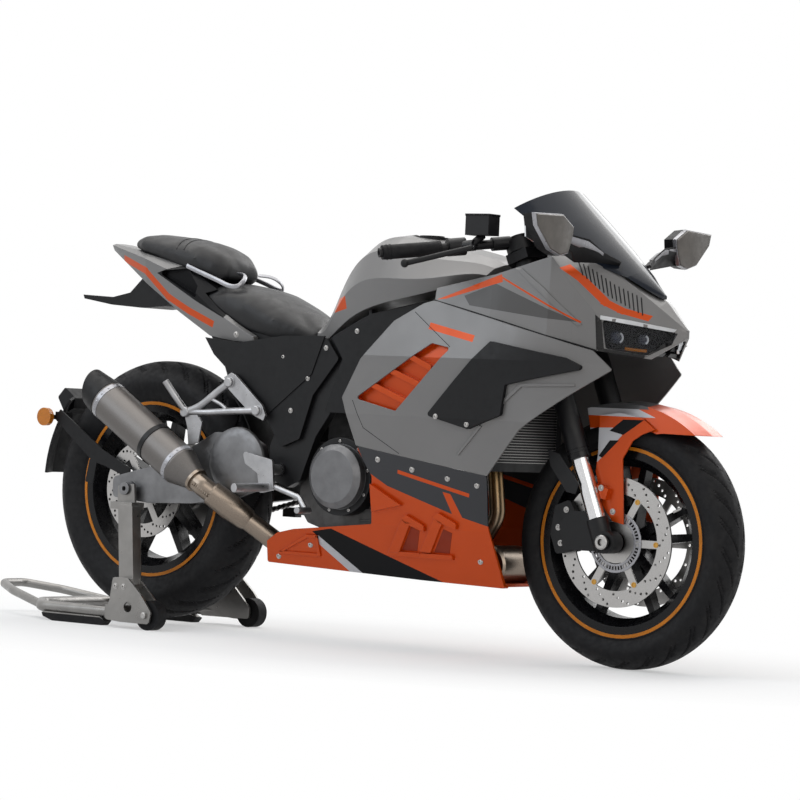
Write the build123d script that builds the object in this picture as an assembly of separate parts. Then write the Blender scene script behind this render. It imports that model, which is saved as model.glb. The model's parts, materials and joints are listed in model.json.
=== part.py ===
from build123d import *
import os
from math import acos, atan2, cos, hypot, pi, radians, sin

# Sport motorcycle on its rear paddock stand.
# Millimetres, +X forward, +Y to the rider's left, +Z up, floor at Z = 0.
# "ahead" columns count forward from the rear axle, "fore" columns from the front axle.

# Wheels and frame geometry
WHEELBASE = 1410.0
FRONT_TYRE_R = 294.0
FRONT_TYRE_W = 116.0
REAR_TYRE_R = 325.0
REAR_TYRE_W = 152.0
RIM_R = 224.0
FRONT_RIM_W = 96.0
REAR_RIM_W = 122.0
STAND_LIFT = 20.0
STAND_REACH = 520.0
RAKE = 21.5
AXLE_LEAD = 13.0
YOKE_OFFSET = 28.0
FORK_HALF = 98.0
FIT = 0.3
GAP = 0.05

LENGTH = STAND_REACH + WHEELBASE + FRONT_TYRE_R
REAR_X = STAND_REACH - LENGTH / 2
FRONT_X = REAR_X + WHEELBASE
REAR_Z = REAR_TYRE_R + STAND_LIFT
FRONT_Z = FRONT_TYRE_R


def ahead(d):
    return REAR_X + d


def fore(d):
    return FRONT_X + d


# Steering axis: UP runs along it, NOSE points forward square to it
UP = Vector(-sin(radians(RAKE)), 0, cos(radians(RAKE)))
NOSE = Vector(cos(radians(RAKE)), 0, sin(radians(RAKE)))
FRONT_AXLE = Vector(FRONT_X, 0, FRONT_Z)
FORK_FOOT = FRONT_AXLE - NOSE * AXLE_LEAD
STEER_FOOT = FORK_FOOT - NOSE * YOKE_OFFSET


def steer_point(along, y=0.0, lead=0.0):
    return STEER_FOOT + UP * along + NOSE * lead + Vector(0, y, 0)


def fork_point(along, y):
    return FORK_FOOT + UP * along + Vector(0, y, 0)


# Helpers
def rod(p, q, r):
    p, q = Vector(*p), Vector(*q)
    return Solid.make_cylinder(r, (q - p).length, Plane(origin=p, z_dir=q - p))


def cone(p, q, r1, r2):
    p, q = Vector(*p), Vector(*q)
    return Solid.make_cone(r1, r2, (q - p).length, Plane(origin=p, z_dir=q - p))


def disc_y(x, y0, y1, z, r):
    return rod((x, y0, z), (x, y1, z), r)


def prism(outline, y0, y1, radius=0.0):
    points = [(x, y0, z) for x, z in outline]
    if radius:
        wire = FilletPolyline(*points, radius=radius, close=True)
        face = make_face(wire).face()
    else:
        face = Face(Wire.make_polygon(points))
    return Solid.extrude(face, Vector(0, y1 - y0, 0))


def slab(outline, z0, z1):
    face = Face(Wire.make_polygon([(x, y, z0) for x, y in outline]))
    return Solid.extrude(face, Vector(0, 0, z1 - z0))


def block(x0, x1, y0, y1, z0, z1):
    return slab(((x0, y0), (x1, y0), (x1, y1), (x0, y1)), z0, z1)


def tube(points, r, bends):
    path = FilletPolyline(*points, radius=bends)
    start = Plane(origin=path @ 0, z_dir=path % 0)
    return sweep(start * Circle(r), path=path)


def spin(outline, x, z, arc=360.0, start=0.0):
    # outline columns: radius, y; start and arc turn from straight ahead, upward
    points = [(x + r, y, z) for r, y in outline]
    face = Face(Wire.make_polygon(points))
    axle = Axis((x, 0, z), (0, -1, 0))
    turned = face.rotate(axle, start)
    return Solid.revolve(turned, arc, axle)


def loft_through(sections, ruled=False):
    return Solid.make_loft([Wire.make_polygon(s) for s in sections], ruled)


def other_side(shape):
    return mirror(shape, about=Plane.XZ)


def both(shape):
    return Compound(children=[shape, other_side(shape)])


def one(shape):
    solids = shape.solids()
    return solids[0] if len(solids) == 1 else Compound(children=list(solids))


NODES = {}

# Wheels
TYRE_BEAD = 205.0
SPOKES = 5
HUB_R = 34.0
FRONT_HUB_HALF = 55.0
FRONT_AXLE_R = 11.0
REAR_AXLE_R = 12.0
FRONT_DISC_R = 150.0
FRONT_DISC_Y = 62.0
DISC_T = 5.0
REAR_DISC_R = 122.0
REAR_DISC_Y = 84.0


def tyre(x, z, r, w, rim_w):
    half = w / 2
    rise = r - TYRE_BEAD
    bead = rim_w / 2 - 9.6
    profile = (
        (TYRE_BEAD + 2, bead),
        (RIM_R + 1, bead),
        (RIM_R + 1, bead + 11),
        (TYRE_BEAD + rise * 0.52, half),
        (TYRE_BEAD + rise * 0.74, half * 0.87),
        (TYRE_BEAD + rise * 0.92, half * 0.51),
        (r, half * 0.15),
    )
    inner = ((r - 16, half * 0.40), (TYRE_BEAD + rise * 0.55, half * 0.80), (RIM_R, bead - 10), (TYRE_BEAD + 2, bead - 10))
    left = [(a, -b) for a, b in reversed(profile)]
    hollow = [(a, -b) for a, b in reversed(inner)] + list(inner)
    return spin(list(profile) + left + hollow, x, z)


def rim(x, z, w, hub_half, axle_r, spoke_depth):
    half = w / 2
    well = (
        (RIM_R, half), (RIM_R, half - 7), (TYRE_BEAD + 1.5, half - 9),
        (TYRE_BEAD - 22, half * 0.45), (TYRE_BEAD - 22, -half * 0.45),
        (TYRE_BEAD + 1.5, 9 - half), (RIM_R, 7 - half), (RIM_R, -half),
        (TYRE_BEAD - 10, -half), (TYRE_BEAD - 30, -half * 0.5),
        (TYRE_BEAD - 30, half * 0.5), (TYRE_BEAD - 10, half),
    )
    ring = spin(well, x, z)
    hub = disc_y(x, -hub_half, hub_half, z, HUB_R)
    pieces = [hub]
    for i in range(SPOKES):
        for lean in (-11.0, 11.0):
            turn = 360.0 / SPOKES * i + 90.0 + lean
            arm = loft_through((
                ((x + HUB_R - 10, -spoke_depth, z - 13), (x + HUB_R - 10, spoke_depth, z - 13),
                 (x + HUB_R - 10, spoke_depth, z + 13), (x + HUB_R - 10, -spoke_depth, z + 13)),
                ((x + TYRE_BEAD - 24, -spoke_depth * 0.7, z - 8), (x + TYRE_BEAD - 24, spoke_depth * 0.7, z - 8),
                 (x + TYRE_BEAD - 24, spoke_depth * 0.7, z + 8), (x + TYRE_BEAD - 24, -spoke_depth * 0.7, z + 8)),
            ), True)
            pieces.append(arm.rotate(Axis((x, 0, z), (0, -1, 0)), turn))
    wheel = ring.fuse(*pieces)
    return wheel.cut(disc_y(x, -hub_half - 1, hub_half + 1, z, axle_r + GAP))


NODES["front_tyre"] = tyre(FRONT_X, FRONT_Z, FRONT_TYRE_R, FRONT_TYRE_W, FRONT_RIM_W)
NODES["rear_tyre"] = tyre(REAR_X, REAR_Z, REAR_TYRE_R, REAR_TYRE_W, REAR_RIM_W)
NODES["front_rim"] = rim(FRONT_X, FRONT_Z, FRONT_RIM_W, FRONT_HUB_HALF, FRONT_AXLE_R, 20.0)
NODES["rear_rim"] = rim(REAR_X, REAR_Z, REAR_RIM_W, 76.0, REAR_AXLE_R, 26.0)


def brake_disc(x, z, y_in, out, r, inner_r, hub_y):
    # friction ring with a carrier that reaches in to the hub face
    near, far = out * y_in, out * (y_in + DISC_T)
    ring = disc_y(x, near, far, z, r).cut(disc_y(x, near - out, far + out, z, inner_r))
    carrier = disc_y(x, out * (hub_y + FIT), far, z, 48.0)
    arms = []
    for i in range(6):
        arm = block(x + 30, x + inner_r + 3, min(near, far), max(near, far), z - 9, z + 9)
        arms.append(arm.rotate(Axis((x, 0, z), (0, 1, 0)), 60.0 * i))
    return ring.fuse(carrier, *arms).cut(disc_y(x, -200, 200, z, 24.0))


near_disc = brake_disc(FRONT_X, FRONT_Z, FRONT_DISC_Y, -1, FRONT_DISC_R, 112.0, FRONT_HUB_HALF)
NODES["front_discs"] = both(near_disc)
NODES["rear_disc"] = brake_disc(REAR_X, REAR_Z, REAR_DISC_Y, -1, REAR_DISC_R, 88.0, 76.0)

# Final drive
CHAIN_Y = 90.0
CHAIN_W = 16.0
CHAIN_H = 14.0
DRIVE_PITCH_R = 38.0
DRIVEN_PITCH_R = 111.0
DRIVE_AHEAD = 545.0
DRIVE_Z = 425.0


def chain_loop(grow, y0, y1):
    xa, za, ra = REAR_X, REAR_Z, DRIVEN_PITCH_R + grow
    xb, zb, rb = ahead(DRIVE_AHEAD), DRIVE_Z, DRIVE_PITCH_R + grow
    run = hypot(xb - xa, zb - za)
    tilt = atan2(zb - za, xb - xa)
    lean = acos((ra - rb) / run)
    top, low = tilt + lean, tilt - lean
    a1 = (xa + ra * cos(top), y0, za + ra * sin(top))
    a2 = (xa + ra * cos(tilt + pi), y0, za + ra * sin(tilt + pi))
    a3 = (xa + ra * cos(low), y0, za + ra * sin(low))
    b1 = (xb + rb * cos(top), y0, zb + rb * sin(top))
    b2 = (xb + rb * cos(tilt), y0, zb + rb * sin(tilt))
    b3 = (xb + rb * cos(low), y0, zb + rb * sin(low))
    wire = Wire([
        Edge.make_three_point_arc(a1, a2, a3), Edge.make_line(a3, b3),
        Edge.make_three_point_arc(b3, b2, b1), Edge.make_line(b1, a1),
    ])
    return Solid.extrude(Face(wire), Vector(0, y1 - y0, 0))


CHAIN_IN = CHAIN_Y - CHAIN_W / 2
CHAIN_OUT = CHAIN_Y + CHAIN_W / 2
NODES["chain"] = chain_loop(CHAIN_H / 2, CHAIN_IN, CHAIN_OUT).cut(
    chain_loop(-CHAIN_H / 2, CHAIN_IN - 1, CHAIN_OUT + 1))
sprocket = disc_y(REAR_X, CHAIN_Y - 3.5, CHAIN_Y + 3.5, REAR_Z, DRIVEN_PITCH_R - CHAIN_H / 2 - 1.0)
sprocket = sprocket.fuse(disc_y(REAR_X, 76.0 + FIT, CHAIN_Y + 3.5, REAR_Z, 52.0))
NODES["rear_sprocket"] = sprocket.cut(disc_y(REAR_X, 60, 120, REAR_Z, 24.0))

# Swingarm with the rear axle, its nuts and the stand bobbins
PIVOT_AHEAD = DRIVE_AHEAD - 75.0
PIVOT_Z = 415.0
PIVOT_R = 16.0
ARM_IN = 104.0
ARM_OUT = 138.0
BOBBIN_R = 9.0
BRIDGE_LOW = 380.0
BRIDGE_TOP = 436.0


def pivot(d):
    return ahead(PIVOT_AHEAD + d)


ARM_TAIL = ((110, 412), (30, 396), (-60, 372), (-60, 322), (60, 312), (200, 318))
ARM_NOSE = ((-150, 336), (-65, 366), (-52, 420), (-68, 472), (-120, 500), (-205, 498), (-276, 458))
arm_points = [(ahead(a), z) for a, z in ARM_TAIL] + [(pivot(a), z) for a, z in ARM_NOSE]
arm_side = prism(arm_points, -ARM_OUT, -ARM_IN, 14.0)
BRIDGE = ((-124, BRIDGE_LOW), (-66, BRIDGE_LOW), (-66, BRIDGE_TOP), (-124, BRIDGE_TOP))
cross = prism([(pivot(a), z) for a, z in BRIDGE], -ARM_IN - 5, ARM_IN + 5, 12.0)
NECK = ((-72, 388), (0, 392), (0, 434), (-72, 430))
neck = prism([(pivot(a), z) for a, z in NECK], -94, 94)
pivot_tube = disc_y(pivot(0), -96, 96, PIVOT_Z, 27.0)
axle = disc_y(REAR_X, -ARM_OUT - 6, ARM_OUT + 6, REAR_Z, REAR_AXLE_R)
nuts = [disc_y(REAR_X, s * (ARM_OUT - 1), s * (ARM_OUT + 12), REAR_Z, 19.0) for s in (-1, 1)]
spacers = [disc_y(REAR_X, -ARM_IN - 1, -REAR_DISC_Y - DISC_T - 2, REAR_Z, 18.0),
           disc_y(REAR_X, CHAIN_OUT + 2, ARM_IN + 1, REAR_Z, 18.0)]
bobbins = []
for s in (-1, 1):
    bobbins.append(disc_y(REAR_X, s * (ARM_OUT + 11), s * 161, REAR_Z, BOBBIN_R))
    bobbins.append(disc_y(REAR_X, s * 160, s * 165, REAR_Z, 16.0))
swingarm = arm_side.fuse(other_side(arm_side), cross, neck, pivot_tube, axle, *nuts, *spacers, *bobbins)
swingarm = swingarm.cut(disc_y(pivot(0), -97, 97, PIVOT_Z, PIVOT_R + FIT))
NODES["swingarm"] = swingarm.cut(disc_y(REAR_X, -200, 200, REAR_Z, 6.0))

# Frame: head tube, spars, pivot plates, cross tubes and the seat rails
SPAR_IN = 104.0
SPAR_OUT = 128.0
HEAD_LOW = 550.0
HEAD_HIGH = 690.0
HEAD_R = 33.0
STEM_R = 15.0
SHOCK_TOP_AHEAD = 505.0
SHOCK_TOP_Z = 650.0
SEAT_BASE_Z = 722.0
SPAR_NOSE = ((-335, 800), (-335, 866), (-410, 858))
SPAR_TOP = ((860, 830), (720, 800), (610, 742), (545, 700))
SPAR_FOOT = ((8, 660), (0, 560), (-38, 470), (-34, 392), (20, 372), (60, 392))
SPAR_UNDER = ((572, 500), (650, 610), (760, 690), (900, 742))
spar_points = [(fore(f), z) for f, z in SPAR_NOSE] + [(ahead(a), z) for a, z in SPAR_TOP]
spar_points += [(pivot(a), z) for a, z in SPAR_FOOT] + [(ahead(a), z) for a, z in SPAR_UNDER]
spar = prism(spar_points, -SPAR_OUT, -SPAR_IN, 10.0)
head = rod(steer_point(HEAD_LOW), steer_point(HEAD_HIGH), HEAD_R)
GUSSET_RIGHT = ((-370, -SPAR_OUT), (-342, -SPAR_OUT), (-318, -58), (-262, -20))
gusset_plan = list(GUSSET_RIGHT) + [(f, -y) for f, y in reversed(GUSSET_RIGHT)]
gusset = slab([(fore(f), y) for f, y in gusset_plan], 806, 864)
gusset = gusset.cut(rod(steer_point(400), steer_point(900), HEAD_R - 4))
pivot_rod = disc_y(pivot(0), -SPAR_OUT - 8, SPAR_OUT + 8, PIVOT_Z, PIVOT_R)
shock_rod = disc_y(ahead(SHOCK_TOP_AHEAD), -SPAR_IN - 2, SPAR_IN + 2, SHOCK_TOP_Z, 13.0)
rails = []
for s in (-1, 1):
    rails.append(tube(((ahead(520), s * 106, 668), (ahead(430), s * 98, 690), (ahead(300), s * 90, 705)), 11.0, 40.0))
rails.append(block(ahead(290), ahead(366), -96, 96, 700, SEAT_BASE_Z - FIT))
rails.append(block(ahead(440), ahead(490), -SPAR_OUT, SPAR_OUT, 690, SEAT_BASE_Z - FIT))
rails.append(block(ahead(478), ahead(500), -SPAR_OUT, -SPAR_IN, 640, 700))
rails.append(block(ahead(478), ahead(500), SPAR_IN, SPAR_OUT, 640, 700))
frame = spar.fuse(other_side(spar), head, gusset, pivot_rod, shock_rod, *rails)
NODES["frame"] = frame.cut(rod(steer_point(400), steer_point(900), STEM_R + GAP))

# Rear shock absorber between the frame cross tube and the swingarm bridge
shock_low = Vector(pivot(-90), 0, BRIDGE_TOP + FIT)
shock_top = Vector(ahead(SHOCK_TOP_AHEAD), 0, SHOCK_TOP_Z)
shock_dir = (shock_top - shock_low).normalized()
shock = rod(shock_low + shock_dir * 8, shock_top, 11.0)
shock = shock.fuse(
    rod(shock_low + shock_dir * 34, shock_low + shock_dir * 150, 30.0),
    disc_y(shock_top.X, -16, 16, shock_top.Z, 22.0),
    block(pivot(-104), pivot(-76), -16, 16, BRIDGE_TOP + FIT, 480),
)
NODES["rear_shock"] = shock.cut(disc_y(shock_top.X, -20, 20, shock_top.Z, 13.0 + FIT))

# Engine block and its round side covers
ENGINE_HALF = 128.0
CLUTCH_AHEAD = 682.0
CLUTCH_Z = 408.0
case = prism([(ahead(a), z) for a, z in (
    (606, 300), (640, 246), (770, 246), (812, 300), (812, 420), (770, 478), (606, 478))],
    -ENGINE_HALF, ENGINE_HALF, 16.0)
GEARBOX_TAIL = ((-5, 488), (-39, 440), (-45, 330), (-15, 290))
gearbox_points = [(ahead(DRIVE_AHEAD + a), z) for a, z in GEARBOX_TAIL] + [(ahead(650), 256), (ahead(650), 480)]
gearbox = prism(gearbox_points, -90, 74, 12.0)
barrel = prism([(ahead(a), z) for a, z in ((690, 470), (806, 410), (905, 640), (890, 724), (790, 724))],
               -95, 95, 12.0)
mounts = [disc_y(ahead(830), s * 90, s * (SPAR_IN - FIT), 716, 13.0) for s in (-1, 1)]
drive = disc_y(ahead(DRIVE_AHEAD), 60, CHAIN_OUT, DRIVE_Z, DRIVE_PITCH_R - CHAIN_H / 2 - FIT)
CHAIN_ROOM = 6.0
chain_room = chain_loop(CHAIN_H / 2 + CHAIN_ROOM, CHAIN_IN - CHAIN_ROOM, CHAIN_OUT + CHAIN_ROOM)
NODES["engine"] = one(case.fuse(gearbox, barrel, *mounts).cut(chain_room).fuse(drive))


def round_cover(x, z, y0, y1, r, s):
    body = disc_y(x, s * y0, s * y1, z, r)
    crown = cone((x, s * y1, z), (x, s * (y1 + 12), z), r, r - 14)
    return body.fuse(crown)


clutch = disc_y(ahead(CLUTCH_AHEAD), -ENGINE_HALF - FIT, -168, CLUTCH_Z, 92.0)
clutch = clutch.fuse(round_cover(ahead(CLUTCH_AHEAD), CLUTCH_Z, 166, 188, 77.0, -1))
generator = round_cover(ahead(700), 392, ENGINE_HALF + FIT, 158, 78.0, 1)
DRIVE_COVER = ((540, 380), (606 - FIT, 380), (606 - FIT, 476), (574, 476))
drive_cover = prism([(ahead(a), z) for a, z in DRIVE_COVER], 105, 132)
NODES["engine_covers"] = Compound(children=[clutch, generator, drive_cover])

# Radiator on two posts under the head gusset
rad = block(fore(-365), fore(-328), -150, 150, 440, 700)
for s in (-1, 1):
    rad = rad.fuse(block(fore(-365), fore(-340), s * 84 - 11, s * 84 + 11, 690, 806))
    rad = rad.fuse(block(fore(-370), fore(-324), s * 158 - 12, s * 158 + 12, 450, 690))
NODES["radiator"] = rad

# Exhaust: two headers, collector and the pipe up to the silencer
PIPE_R = 19.0
MID_PIPE_R = 25.0
SILENCER_R = 50.0
SILENCER_Y = -200.0
headers = []
for s in (-1, 1):
    headers.append(tube((
        (ahead(888), s * 42, 640), (ahead(965), s * 42, 610), (ahead(1000), s * 44, 330),
        (ahead(940), s * 30, 226), (ahead(800), s * 12, 212)), PIPE_R, (40.0, 60.0, 40.0)))
silencer_front = Vector(ahead(212), SILENCER_Y, 410)
silencer_rear = Vector(ahead(-38), SILENCER_Y, 566)
silencer_dir = (silencer_rear - silencer_front).normalized()
pipe_end = silencer_front - silencer_dir * 55
mid = tube((
    (ahead(820), 0, 212), (ahead(640), -20, 212), (ahead(446), -70, 222),
    tuple(pipe_end - silencer_dir * 30), tuple(pipe_end)), MID_PIPE_R, (70.0, 60.0, 8.0))
flange = rod(pipe_end - silencer_dir * 8, pipe_end, 31.0)
exhaust = mid.fuse(*headers, flange)
NODES["exhaust_pipes"] = exhaust.cut(block(ahead(700), ahead(905), -110, 110, 560, 725))

can = rod(silencer_front, silencer_rear, SILENCER_R)
can = can.fuse(cone(pipe_end + silencer_dir * FIT, silencer_front, 30.0, SILENCER_R))
NODES["silencer"] = can
CAP_SHORT = 22.0
CAP_LONG = 84.0
slash = []
for along, across in ((CAP_SHORT, -70.0), (CAP_LONG, 70.0), (160.0, 70.0), (160.0, -70.0)):
    slash.append((silencer_rear.X + silencer_dir.X * along + silencer_dir.Z * across,
                  silencer_rear.Z + silencer_dir.Z * along - silencer_dir.X * across))
cap = cone(silencer_rear + silencer_dir * FIT, silencer_rear + silencer_dir * 90, SILENCER_R + 1, SILENCER_R - 10)
cap = cap.cut(prism(slash, SILENCER_Y - 80, SILENCER_Y + 80))
NODES["silencer_cap"] = cap.cut(rod(silencer_rear + silencer_dir * 12, silencer_rear + silencer_dir * 120, 24.0))

# Fairing: one lofted body, cut into side panels and belly pan
PANEL_T = 4.0
FAIRING_LEVELS = (162, 300, 430, 560, 700, 900)
FAIRING_STATIONS = (
    # fore, then the half width at each level
    (-990, 105, 148, 175, 190, 190, 173),
    (-810, 110, 158, 188, 203, 203, 182),
    (-650, 114, 166, 198, 216, 218, 190),
    (-490, 118, 172, 206, 229, 234, 198),
    (-330, 120, 175, 210, 236, 242, 195),
    (-170, 120, 172, 206, 229, 222, 183),
    (40, 112, 145, 158, 160, 140, 132),
)


def fairing_body(inset, floor=0.0):
    levels = (FAIRING_LEVELS[0] + floor,) + FAIRING_LEVELS[1:]
    sections = []
    for station in FAIRING_STATIONS:
        right = [(fore(station[0]), inset - w, z) for w, z in zip(station[1:], levels)]
        left = [(x, -y, z) for x, y, z in reversed(right)]
        sections.append(right + left)
    return loft_through(sections)


SIDE_OUTLINE = (
    (-688, 568), (-699, 598), (-645, 690), (-553, 783), (-470, 826),
    (-440, 833.4), (-280, 796.4), (-130, 758.4), (-22, 729.4), (22, 687), (-175, 541), (-270, 431), (-656, 485),
)
BELLY_OUTLINE = (
    (-656, 484.4), (-270, 430.4), (-282, 317), (-265, 170), (-500, 174), (-980, 188),
    (-972, 240), (-935, 262), (-880, 274), (-628, 300), (-612, 415),
)
VENT_OUTLINE = ((-658, 597), (-427, 733), (-370, 723), (-529, 571))
DUCT_OUTLINE = (
    (-257, 742), (-77, 711), (-28, 688), (-209, 643), (-217, 573), (-308, 537), (-427, 565),
)
VENT_SLATS = (
    # rear fore, rear z, front fore, front z
    (-494, 702, -424, 674),
    (-556, 668, -458, 634),
    (-610, 632, -492, 591),
)
SLAT_H = 14.0

outer = fairing_body(0.0)
shell = outer.cut(fairing_body(PANEL_T))
belly_shell = outer.cut(fairing_body(PANEL_T, PANEL_T + 12))


def fore_prism(outline, y0, y1, radius=0.0):
    return prism([(fore(f), z) for f, z in outline], y0, y1, radius)


side = shell.intersect(fore_prism(SIDE_OUTLINE, -300, -60, 5.0))
side = one(side).cut(fore_prism(VENT_OUTLINE, -300, -60, 5.0))
NODES["side_fairings"] = both(one(side))
belly = belly_shell.intersect(fore_prism(BELLY_OUTLINE, -300, 300, 5.0))
belly = one(belly).cut(block(fore(-300), fore(0), -106, 106, 100, 210))
NODES["belly_pan"] = one(belly)


def grown(outline, by):
    cx = sum(p[0] for p in outline) / len(outline)
    cz = sum(p[1] for p in outline) / len(outline)
    out = []
    for x, z in outline:
        run = hypot(x - cx, z - cz)
        out.append((x + (x - cx) / run * by, z + (z - cz) / run * by))
    return out


VENT_DEPTH = 16.0
vent_back = fairing_body(VENT_DEPTH).cut(fairing_body(VENT_DEPTH + 3))
vent_back = vent_back.intersect(fore_prism(grown(VENT_OUTLINE, 14), -300, -60, 5.0))
vent_rim = fairing_body(PANEL_T + FIT).cut(fairing_body(VENT_DEPTH + 3))
vent_rim = vent_rim.intersect(fore_prism(grown(VENT_OUTLINE, 14), -300, -60, 5.0))
vent_rim = one(vent_rim).cut(fore_prism(grown(VENT_OUTLINE, 4), -300, -60, 5.0))
vent_bars = fairing_body(2.0).cut(fairing_body(VENT_DEPTH + 1))
slats = []
for rear_f, rear_z, front_f, front_z in VENT_SLATS:
    slats.append(fore_prism((
        (rear_f, rear_z - SLAT_H / 2), (front_f, front_z - SLAT_H / 2),
        (front_f, front_z + SLAT_H / 2), (rear_f, rear_z + SLAT_H / 2),
    ), -300, -60))
vent = one(vent_back).fuse(one(vent_rim))
for piece in slats:
    bar = one(vent_bars.intersect(piece))
    bar = bar.intersect(fore_prism(grown(VENT_OUTLINE, -1), -300, -60, 5.0))
    vent = vent.fuse(one(bar))
NODES["vent_louvres"] = both(one(vent))

duct = fairing_body(-11.0).cut(fairing_body(-FIT)).intersect(fore_prism(DUCT_OUTLINE, -300, -60, 6.0))
NODES["duct_panels"] = both(one(duct))

# Nose cowl with its headlights
COWL_STATIONS = (
    # fore, crown z, shoulder y, shoulder z, edge y, edge z, seam y, seam z
    (-440, 868, 178, 868, 205, 862, 210, 834),
    (-280, 905, 160, 905, 204, 896, 214, 797),
    (-130, 944, 148, 948, 190, 942, 198, 759),
    (-75, 930, 112, 936, 172, 872, 176, 745),
    (-22, 904, 70, 908, 150, 810, 150, 730),
    (68, 850, 34, 836, 64, 796, 62, 716),
    (128, 786, 5, 785, 8, 782, 8, 768),
)


def cowl_body(inset, drop=0.0):
    sections = []
    for f, crown, sy, sz, ey, ez, by, bz in COWL_STATIONS:
        tip = inset if f > 100 else 0.0
        x = fore(f) - tip * 2.0
        shrink = min(inset, sy - 2)
        edge = inset * 0.8 - ey if ey > 20 else -ey * 0.5
        seam = inset - by if by > 20 else -by * 0.5
        right = [(x, shrink - sy, sz - inset), (x, edge, ez - inset), (x, seam, bz - drop)]
        left = [(px, -py, pz) for px, py, pz in reversed(right)]
        sections.append([(x, 0, crown - inset)] + right + left)
    return loft_through(sections, True)


cowl = cowl_body(0.0).cut(cowl_body(PANEL_T, 30.0))
cockpit = slab((
    (fore(-520), -186), (fore(-440), -186), (fore(-280), -172), (fore(-130), -140), (fore(-75), -100),
    (fore(-20), -50), (fore(-20), 50), (fore(-75), 100), (fore(-130), 140), (fore(-280), 172),
    (fore(-440), 186), (fore(-520), 186),
), 780, 1000)
LIGHT_OUTLINE = ((-16, 802), (110, 780), (103, 752), (60, 724), (-8, 736))
light_cut = fore_prism(LIGHT_OUTLINE, -210, -12, 6.0)
cowl = one(cowl.cut(cockpit, light_cut, other_side(light_cut)))
NODES["nose_cowl"] = cowl

lens = cowl_body(0.6).cut(cowl_body(PANEL_T, 30.0))
lens = lens.intersect(fore_prism(grown(LIGHT_OUTLINE, -1.0), -210, -13, 6.0))
NODES["headlight_lenses"] = both(one(lens))
lamp_area = fore_prism(grown(LIGHT_OUTLINE, 6.0), -210, -10)
lamp = one(one(cowl_body(PANEL_T + 10, -12.0).intersect(lamp_area)).cut(cowl_body(PANEL_T + 22, -20.0)))
lamp_rim = one(cowl_body(PANEL_T + FIT, -8.0).intersect(lamp_area))
lamp_rim = lamp_rim.cut(cowl_body(PANEL_T + 22, -20.0), fore_prism(grown(LIGHT_OUTLINE, 2.0), -210, -10))
NODES["headlights"] = both(one(lamp.fuse(one(lamp_rim))))

# Windscreen: a bubble through five arcs
SCREEN_T = 3.0
SCREEN_STATIONS = (
    # crown fore, crown z, edge fore, edge half width, edge z
    (62, 866, 58, 10, 856),
    (5, 918, -5, 64, 902),
    (-65, 981, -75, 112, 931),
    (-135, 1044, -175, 142, 990),
    (-203, 1106, -277, 140, 1055),
)


def screen_bubble(depth):
    sections = []
    for crown_f, crown_z, edge_f, half, edge_z in SCREEN_STATIONS:
        drop = 40.0 if depth else 0.0
        side = half - depth if half > 20 else half * (0.7 if depth else 1.0)
        mid = Vector(fore(crown_f) - depth * 0.55, 0, crown_z - depth * 0.83)
        right = Vector(fore(edge_f) - depth * 0.3, -side, edge_z - depth * 0.4)
        left = Vector(right.X, side, right.Z)
        sink = ((right + left) / 2 - mid).normalized() * drop
        low_right = right + sink
        low_left = left + sink
        arc = Edge.make_three_point_arc(right, mid, left)
        if depth:
            edges = [arc, Edge.make_line(left, low_left), Edge.make_line(low_left, low_right),
                     Edge.make_line(low_right, right)]
        else:
            edges = [arc, Edge.make_line(left, right)]
        sections.append(Wire(edges))
    return Solid.make_loft(sections, True)


screen = one(screen_bubble(0.0).cut(screen_bubble(SCREEN_T)))
NODES["windscreen"] = one(screen.cut(cowl_body(-FIT)))

# Instrument panel on its stay ahead of the head tube
dash = prism([(fore(f), z) for f, z in ((-178, 962), (-128, 1000), (-108, 974), (-158, 936))], -78, 78, 6.0)
stay = prism([(fore(f), z) for f, z in ((-232, 838), (-222, 870), (-164, 948), (-130, 966), (-196, 838))], -16, 16)
stay = stay.cut(rod(steer_point(400), steer_point(900), HEAD_R + FIT))
bar = one(disc_y(fore(-150), -230, 230, 922, 8.0).intersect(cowl_body(PANEL_T + FIT)))
NODES["instrument_panel"] = one(dash.fuse(stay, bar))

# Mirrors on blades out of the cowl
MIRROR_OUTLINE = ((-374, 1028), (-262, 1032), (-222, 1004), (-288, 950), (-366, 974))
MIRROR_BACK = -92.0
MIRROR_DEEP = 48.0


def mirror_ring(f, scale):
    cy = sum(p[0] for p in MIRROR_OUTLINE) / 5
    cz = sum(p[1] for p in MIRROR_OUTLINE) / 5
    return [(fore(f), cy + (y - cy) * scale, cz + (z - cz) * scale) for y, z in MIRROR_OUTLINE]


pod = loft_through((
    mirror_ring(MIRROR_BACK, 1.0), mirror_ring(MIRROR_BACK + 22, 1.0),
    mirror_ring(MIRROR_BACK + MIRROR_DEEP, 0.55)), True)
MIRROR_WING = (
    # y, rear fore, front fore, low z, high z
    (-300, -86, -52, 956, 984),
    (-226, -72, -6, 940, 972),
    (-146, -66, 20, 918, 938),
)
wing = loft_through([
    ((fore(a), y, lo), (fore(b), y, lo), (fore(b), y, lo + (hi - lo) * 0.4), (fore(a), y, hi))
    for y, a, b, lo, hi in MIRROR_WING], True)
mirror_post = block(fore(-104), fore(-54), -176, -146, 850, 930).cut(cowl_body(-FIT))
pod_room = loft_through((mirror_ring(MIRROR_BACK - 1, 0.90), mirror_ring(MIRROR_BACK + 5, 0.90)), True)
NODES["mirrors"] = both(one(pod.fuse(wing, one(mirror_post)).cut(pod_room)))
glass = loft_through((mirror_ring(MIRROR_BACK + 1, 0.89), mirror_ring(MIRROR_BACK + 5 - FIT, 0.89)), True)
NODES["mirror_glasses"] = both(glass)

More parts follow.
